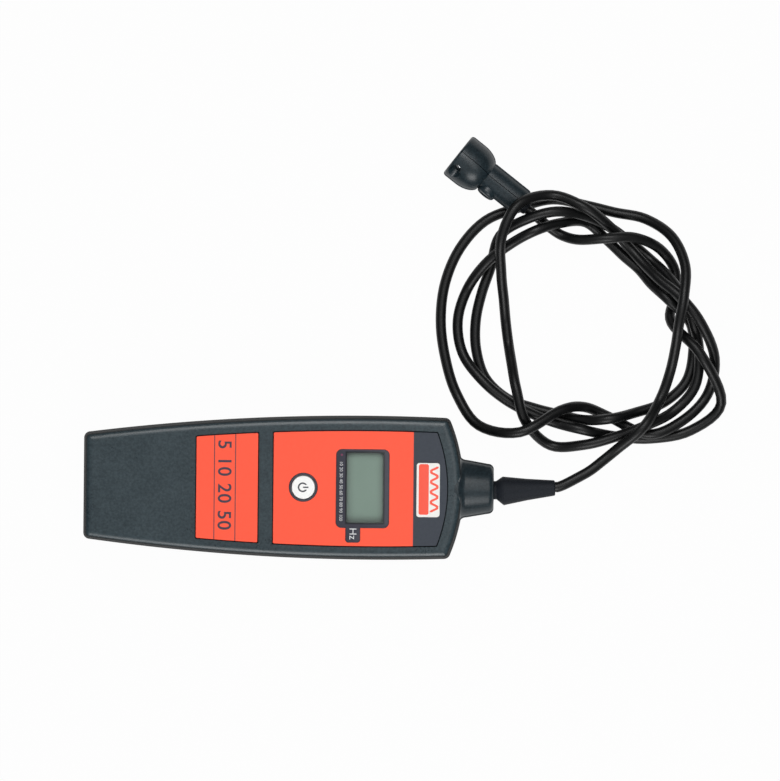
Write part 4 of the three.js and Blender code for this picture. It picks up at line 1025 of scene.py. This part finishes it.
neck_start, neck_end, neck_radius = -4, 1.3, 4.6
crest, crest_top = (4.6, 7.1), (4.95, 7.2)
tip_side, tip_end = (relief_tip - 0.7, 3.9), (relief_tip, 3.1)
relief = turned([
    (neck_start, 0), (neck_start, neck_radius), (neck_end, neck_radius),
    *rounding(crest, crest_top, out=True, steps=3), (5.4, 7.1), (17, 5.35),
    *rounding(tip_side, tip_end, out=True), (relief_tip, 0),
], sides=64).moved(sagged).moved(in_relief)
shaped("relief_sleeve", relief, "rubber", ["strain_relief"])

# %% [markdown]
# ## Cable
# The cable is a circle carried along its route. Each ring has to stand square to the route and must
# not spin from one ring to the next. A cable that lies loose never runs straight up, so the level
# direction across it is a steady guide, and the rings can be worked out all at once.

# %% A tube along the route
def tube(line, radius, sides=20):
    """Each point of the line plus a circle in the plane of two directions: one is level and square
    to the line, and the other is square to both."""
    along = np.gradient(line, axis=0)
    along /= np.linalg.norm(along, axis=1, keepdims=True)
    level = np.cross([0, 0, 1], along)
    level /= np.linalg.norm(level, axis=1, keepdims=True)
    angle = (math.tau / sides * np.arange(sides))[None, :, None]
    across = np.cos(angle) * level[:, None] + np.sin(angle) * np.cross(along, level)[:, None]
    rings = line[:, None] + radius * across
    ends = [np.broadcast_to(line[k], rings[0].shape)[None] for k in (0, -1)]
    shape = Shape()
    shape.grid(np.concatenate([ends[0], rings, ends[1]]))
    return shape


cable = shaped("cable", tube(cable_line, cable_diameter / 2), "cable", ["lead_run", "lead_loops"])

# %% [markdown]
# ## Sensor head
# The head is a cup on a round handle, moulded in two halves. Each half is the same profile carried
# half way round, stopping just short of the parting plane, so that a real gap shows. The handle lies
# a millimetre off the cup's axis. The left half gets a raised pad and two screw wells, which are cut
# with booleans because they cross the curve.

# %% Profile of the head
cup_radius, mouth_edge, handle_radius, handle_edge = 12.1, 1.6, 7.25, 2
shoulder_start, shoulder_end, shoulder_drop, handle_start = 8, 18.5, 6, 18.4
cup_shift, handle_shift = -0.35, 0.8
mouth_radius, mouth_depth, mouth_chamfer, face_end, face_seat = 8.8, 8.2, 0.3, 10.5, 10.5
parting_gap, lip_gap, half_sides = 0.15, 0.02, 72
head_profile = [
    *rounding((0, cup_radius - mouth_edge), (mouth_edge, cup_radius), out=False, steps=8),
    *rounding((shoulder_start, cup_radius), (shoulder_end, cup_radius - shoulder_drop), out=True,
              steps=18)[:15],
    (handle_start, handle_radius),
    *round_end(head_length, handle_radius, handle_edge, steps=8),
    (head_length, 3.2), (38.5, 3.2), (38.5, 5.2), (18, 5.2), (11.5, 8.9), (face_end, 8.9),
    (face_end, face_seat), (mouth_depth, face_seat), (mouth_depth, mouth_radius),
    (mouth_chamfer, mouth_radius), (0, mouth_radius + mouth_chamfer),
]
outside_rows = [x for x, _ in head_profile].index(head_length) + 1
print("points of the head's profile:", len(head_profile), "of them outside:", outside_rows)


# %% Half shells
def half_shell(name, side):
    """The head's profile at angles from one end of the parting gap to the other. The outside of the
    cup and that of the handle are moved a little to opposite sides, and the angle at which a ring
    reaches the parting gap depends on its radius and place, so that the gap is even. Inside, the
    left half reaches across the gap, almost to the right half, so that no light shines through."""
    along, radius = np.array(head_profile).T
    shift = np.where(along < handle_start, cup_shift, handle_shift)
    shift[outside_rows:] = 0
    edge = np.full(len(along), parting_gap)
    if side < 0:
        edge[outside_rows:] = lip_gap - parting_gap
    shift = shift[:, None]
    first = np.arcsin((edge[:, None] - side * shift) / radius[:, None])
    angle = first + (math.pi - 2 * first) * np.linspace(0, 1, half_sides + 1)
    x = np.broadcast_to(along[:, None], angle.shape)
    y = shift + side * radius[:, None] * np.sin(angle)
    rows = np.stack([x, y, radius[:, None] * np.cos(angle)], axis=-1)
    shape = Shape()
    shape.grid(np.concatenate([rows, rows[:1]]), around=False)
    for end in (0, -1):
        cap_points = rows[:, end]
        shape.add(cap_points, tessellate_polygon([cap_points[:, [0, 2]].tolist()]))
    return shape.mesh(name)


# %% Screw wells
def rod(place_x, place_z, radius, first_y, last_y, edge=0):
    """A closed rod across the head, from one y to another, with its outer end rounded."""
    lip = round_end(0, radius, edge) if edge else [(0, radius)]
    foot_end = last_y - first_y
    shape = turned([(foot_end, 0), (foot_end, radius), *lip, (0, 0)], sides=64)
    shape.moved(lambda p: np.stack([place_x + p[:, 1], last_y - p[:, 0], place_z + p[:, 2]], axis=1))
    return new_object("rod", shape.mesh("rod"))


def carved(made, steps):
    """Adds or cuts each rod in turn, keeps the result and removes the rods."""
    for operation, tool in steps:
        boolean = made.modifiers.new(operation, "BOOLEAN")
        boolean.operation, boolean.object = operation, tool
    mesh = baked_mesh(made)
    made.modifiers.clear()
    made.data = mesh
    for _, tool in steps:
        bpy.data.objects.remove(tool)


# %% Left and right half
front_screw, rear_screw = (4, 7.6), (23, 0)
left = piece("head_left", half_shell("head_left", -1), "case_plastic", ["sensor_shell_left"],
             material=head_plastic)
carved(left, [
    ("UNION", rod(*rear_screw, radius=4.9, first_y=-2, last_y=-8.15, edge=1.6)),
    ("UNION", rod(*front_screw, radius=2.9, first_y=-0.15, last_y=-6)),
    ("DIFFERENCE", rod(*front_screw, radius=3, first_y=-5, last_y=-14)),
    ("DIFFERENCE", rod(*rear_screw, radius=2.3, first_y=-5.9, last_y=-14)),
])
right = piece("head_right", half_shell("head_right", 1), "case_plastic", ["sensor_shell_right"],
              material=head_plastic)
for half in (left, right):
    move_mesh(half.data, in_head)
    finish_mesh(half.data)

# %% [markdown]
# In the mouth sits a black face plate with three lamps behind it: an infrared emitter and detector
# side by side, and a small red lamp that shows where the head points.

# %% Face plate
lamp_places = [
    ("emitter_lens", "infrared_emitter", "clear_lens", 2.5, 4.3, -1.8),
    ("detector_lens", "infrared_detector", "dark_lens", 2.5, -4.3, -1.8),
    ("aiming_lens", "aiming_lamp", "red_lens", 1.5, 0, 4.4),
]
lamp_tip, lamp_foot, lamp_flange, lamp_gap = 7.2, 13.3, 0.5, 0.1
face_radius, face_front, face_back = 10.4, 8.3, 10.2
face = Shape()
holes = [circle((y, z), radius + lamp_gap, 48) for _, _, _, radius, y, z in lamp_places]
for x in (face_front, face_back):
    face.flat(x, circle((0, 0), face_radius), *holes)
for loop in (circle((0, 0), face_radius), *holes):
    face.grid([raised(loop, x) for x in (face_front, face_back)])
face.moved(lambda p: in_head(p[:, [2, 0, 1]]))
shaped("face_plate", face, "black_plastic", ["sensor_face"])

# %% Lamps and grommet
for name, node, slot_name, radius, y, z in lamp_places:
    lamp = turned([
        *rounding((lamp_tip, 0), (lamp_tip + radius, radius), out=False), (lamp_foot - lamp_flange, radius),
        (lamp_foot - lamp_flange, radius + lamp_flange), (lamp_foot, radius + lamp_flange), (lamp_foot, 0),
    ], sides=40).moved(lambda p, y=y, z=z: in_head(p + [0, y, z]))
    shaped(name, lamp, slot_name, [node])

grommet = turned([
    (36.9, 0), (36.9, 4.6), (38.2, 4.6), (38.2, 2.9), (head_length + 0.1, 2.9), (head_length + 0.1, 3.5),
    *rounding((head_length + 0.1, 3.5), (head_length + 0.4, 3.7), out=False), (grommet_end - 0.4, 3.2),
    *round_end(grommet_end, 3.2, 0.4), (grommet_end, 0),
], sides=64).moved(in_head)
shaped("head_grommet", grommet, "rubber", ["sensor_grommet"])

# %% [markdown]
# ## Screws
# Four screws close the case from the back and two close the head. Each is a pan head with a cross
# recess: a disc whose hole is the cross, with the cross carried down to a floor.

# %% Pan head screws
screw_sides = 48


def screw(name, node, change, head_radius, head, shank, length):
    """A screw in its own frame, its face at z = 0 and its point below it, moved by a function. The
    cross is one arm's three corners, turned by four quarters."""
    arm, half = 0.6 * head_radius, 0.17 * head_radius
    corner = [(arm, -half), (arm, half), (half, half)]
    cross = np.vstack([np.array(corner) @ turn_about(2, k * quarter)[:2, :2].T for k in range(4)])
    side = [(-length, 0), (shank - length, shank), (-head, shank), (-head, head_radius),
            *rounding((-head * 0.5, head_radius), (0, 0.75 * head_radius), out=True)]
    body = turned(side, screw_sides).moved(lambda p: p[:, [1, 2, 0]])
    rim = body.points[0][-screw_sides:]
    body.flat(0, rim[:, :2], cross)
    body.grid([raised(cross, z) for z in (0, -head / 2)])
    body.flat(-head / 2, cross)
    shaped(name, body.moved(change), "steel", [node])


def facing_down(place_x, place_y, place_z):
    """Half a turn about x, which takes y to -y and z to -z, and then a move to the place."""
    return lambda p: p * [1, -1, -1] + [place_x, place_y, place_z]


def across_head(place_x, place_z, face_y):
    """Lays the screw along y of the head's frame: z becomes -y from the face, and y becomes z."""
    return lambda p: in_head(np.stack([place_x + p[:, 0], face_y - p[:, 2], place_z + p[:, 1]], axis=1))


# %% Screws of the case and the head
screw_places = [(-80, 21.1), (-80, -21.1), (74, 28.4), (74, -28.4)]
screw_face = 1.2
for k, (x, y) in enumerate(screw_places, 1):
    screw(f"back_screw_{k}", f"case_screw_{k}", facing_down(x, y, screw_face),
          head_radius=2.8, head=2, shank=1.45, length=23.3)
for end, place, face_y, length in (("front", front_screw, -6.7, 11.4), ("rear", rear_screw, -7.6, 12.3)):
    screw(f"head_screw_{end}", f"sensor_screw_{end}", across_head(*place, face_y),
          head_radius=2, head=1.6, shank=1.1, length=length)

# %% [markdown]
# ## What lies inside
# The board, the battery and the parts round them stay as the CAD model has them, because they are
# plain shapes that show only through the window or the battery opening. Each gets the finish of its
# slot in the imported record.

# %% Finishes of the CAD nodes
for row in frame["record"]["subparts"]:
    data = nodes[row["node"]].data
    data.materials.clear()
    data.materials.append(finishes[row["material_slot"]])

# %% [markdown]
# ## Table and light
# The light is that of a packshot: a broad soft lamp overhead, a small one towards the nose, and two
# behind and in front that draw bright lines along the rounded edges, while the steep sides stay
# dark. The table looks white to the camera and to reflections, but a little of its look is real
# light on paper, so the object's soft shadow stays on it.

# %% Table
table_mesh = bpy.data.meshes.new("table")
table_half, table_glow = 4, 0.975
corners = [(-1, -1), (1, -1), (1, 1), (-1, 1)]
table_mesh.from_pydata([(x * table_half, y * table_half, 0) for x, y in corners], [], [(0, 1, 2, 3)])
table = new_object("table", table_mesh)
paper = Shader("white table")
paper.set(Base_Color=(170, 170, 170), Roughness=0.9, Specular_IOR_Level=0.1)
rays = paper.node("ShaderNodeLightPath", {}).output.node.outputs
kinds = ("Is Camera Ray", "Is Glossy Ray", "Is Transmission Ray")
direct, mirrored, through = (Socket(paper, rays[kind]) for kind in kinds)
seen = direct.math("MAXIMUM", mirrored.math("MAXIMUM", through))
glow = paper.node("ShaderNodeEmission", {}, (1, 1, 1, 1), 1.0)
lit = Socket(paper, paper.surface.outputs[0])
shown = paper.node("ShaderNodeMixShader", {}, seen * table_glow, lit, glow)
paper.tree.links.new(shown.output, paper.tree.nodes["Material Output"].inputs["Surface"])
table_mesh.materials.append(paper.material)

# %% Surroundings and lamps
world_strength = 0.12
world = bpy.data.worlds.new("studio")
world.use_nodes = True
bpy.context.scene.world = world
surround = world.node_tree.nodes["Background"]
surround.inputs["Color"].default_value = (1, 1, 1, 1)
surround.inputs["Strength"].default_value = world_strength


def soft_lamp(name, tilt, turn, distance, size, brightness):
    """A square area lamp, in metres, that faces the middle of the picture from a tilt away from
    straight above, turned about the upright from the back. A white sheet of this brightness and
    size gives off its brightness times pi times its area."""
    data = bpy.data.lights.new(name, "AREA")
    data.size, data.energy = size, brightness * math.pi * size**2
    lamp = new_object(name, data)
    tilt, turn = math.radians(tilt), math.radians(turn)
    way = np.array([math.sin(tilt) * math.sin(turn), math.sin(tilt) * math.cos(turn), math.cos(tilt)])
    lamp.location = np.array([*picture_centre, 0]) * MM + distance * way
    lamp.rotation_euler = (tilt, 0, math.pi - turn)


soft_lamp("overhead lamp", 0, 0, 1.5, 2.6, 0.46)
soft_lamp("nose lamp", 15, 80, 1.1, 0.45, 1.7)
soft_lamp("back lamp", 29, 0, 1.3, 0.56, 6.5)
soft_lamp("front lamp", 53, 180, 1.3, 0.66, 6.6)
bpy.context.scene.view_settings.view_transform = "Standard"
print("lamps:", len(bpy.data.lights))
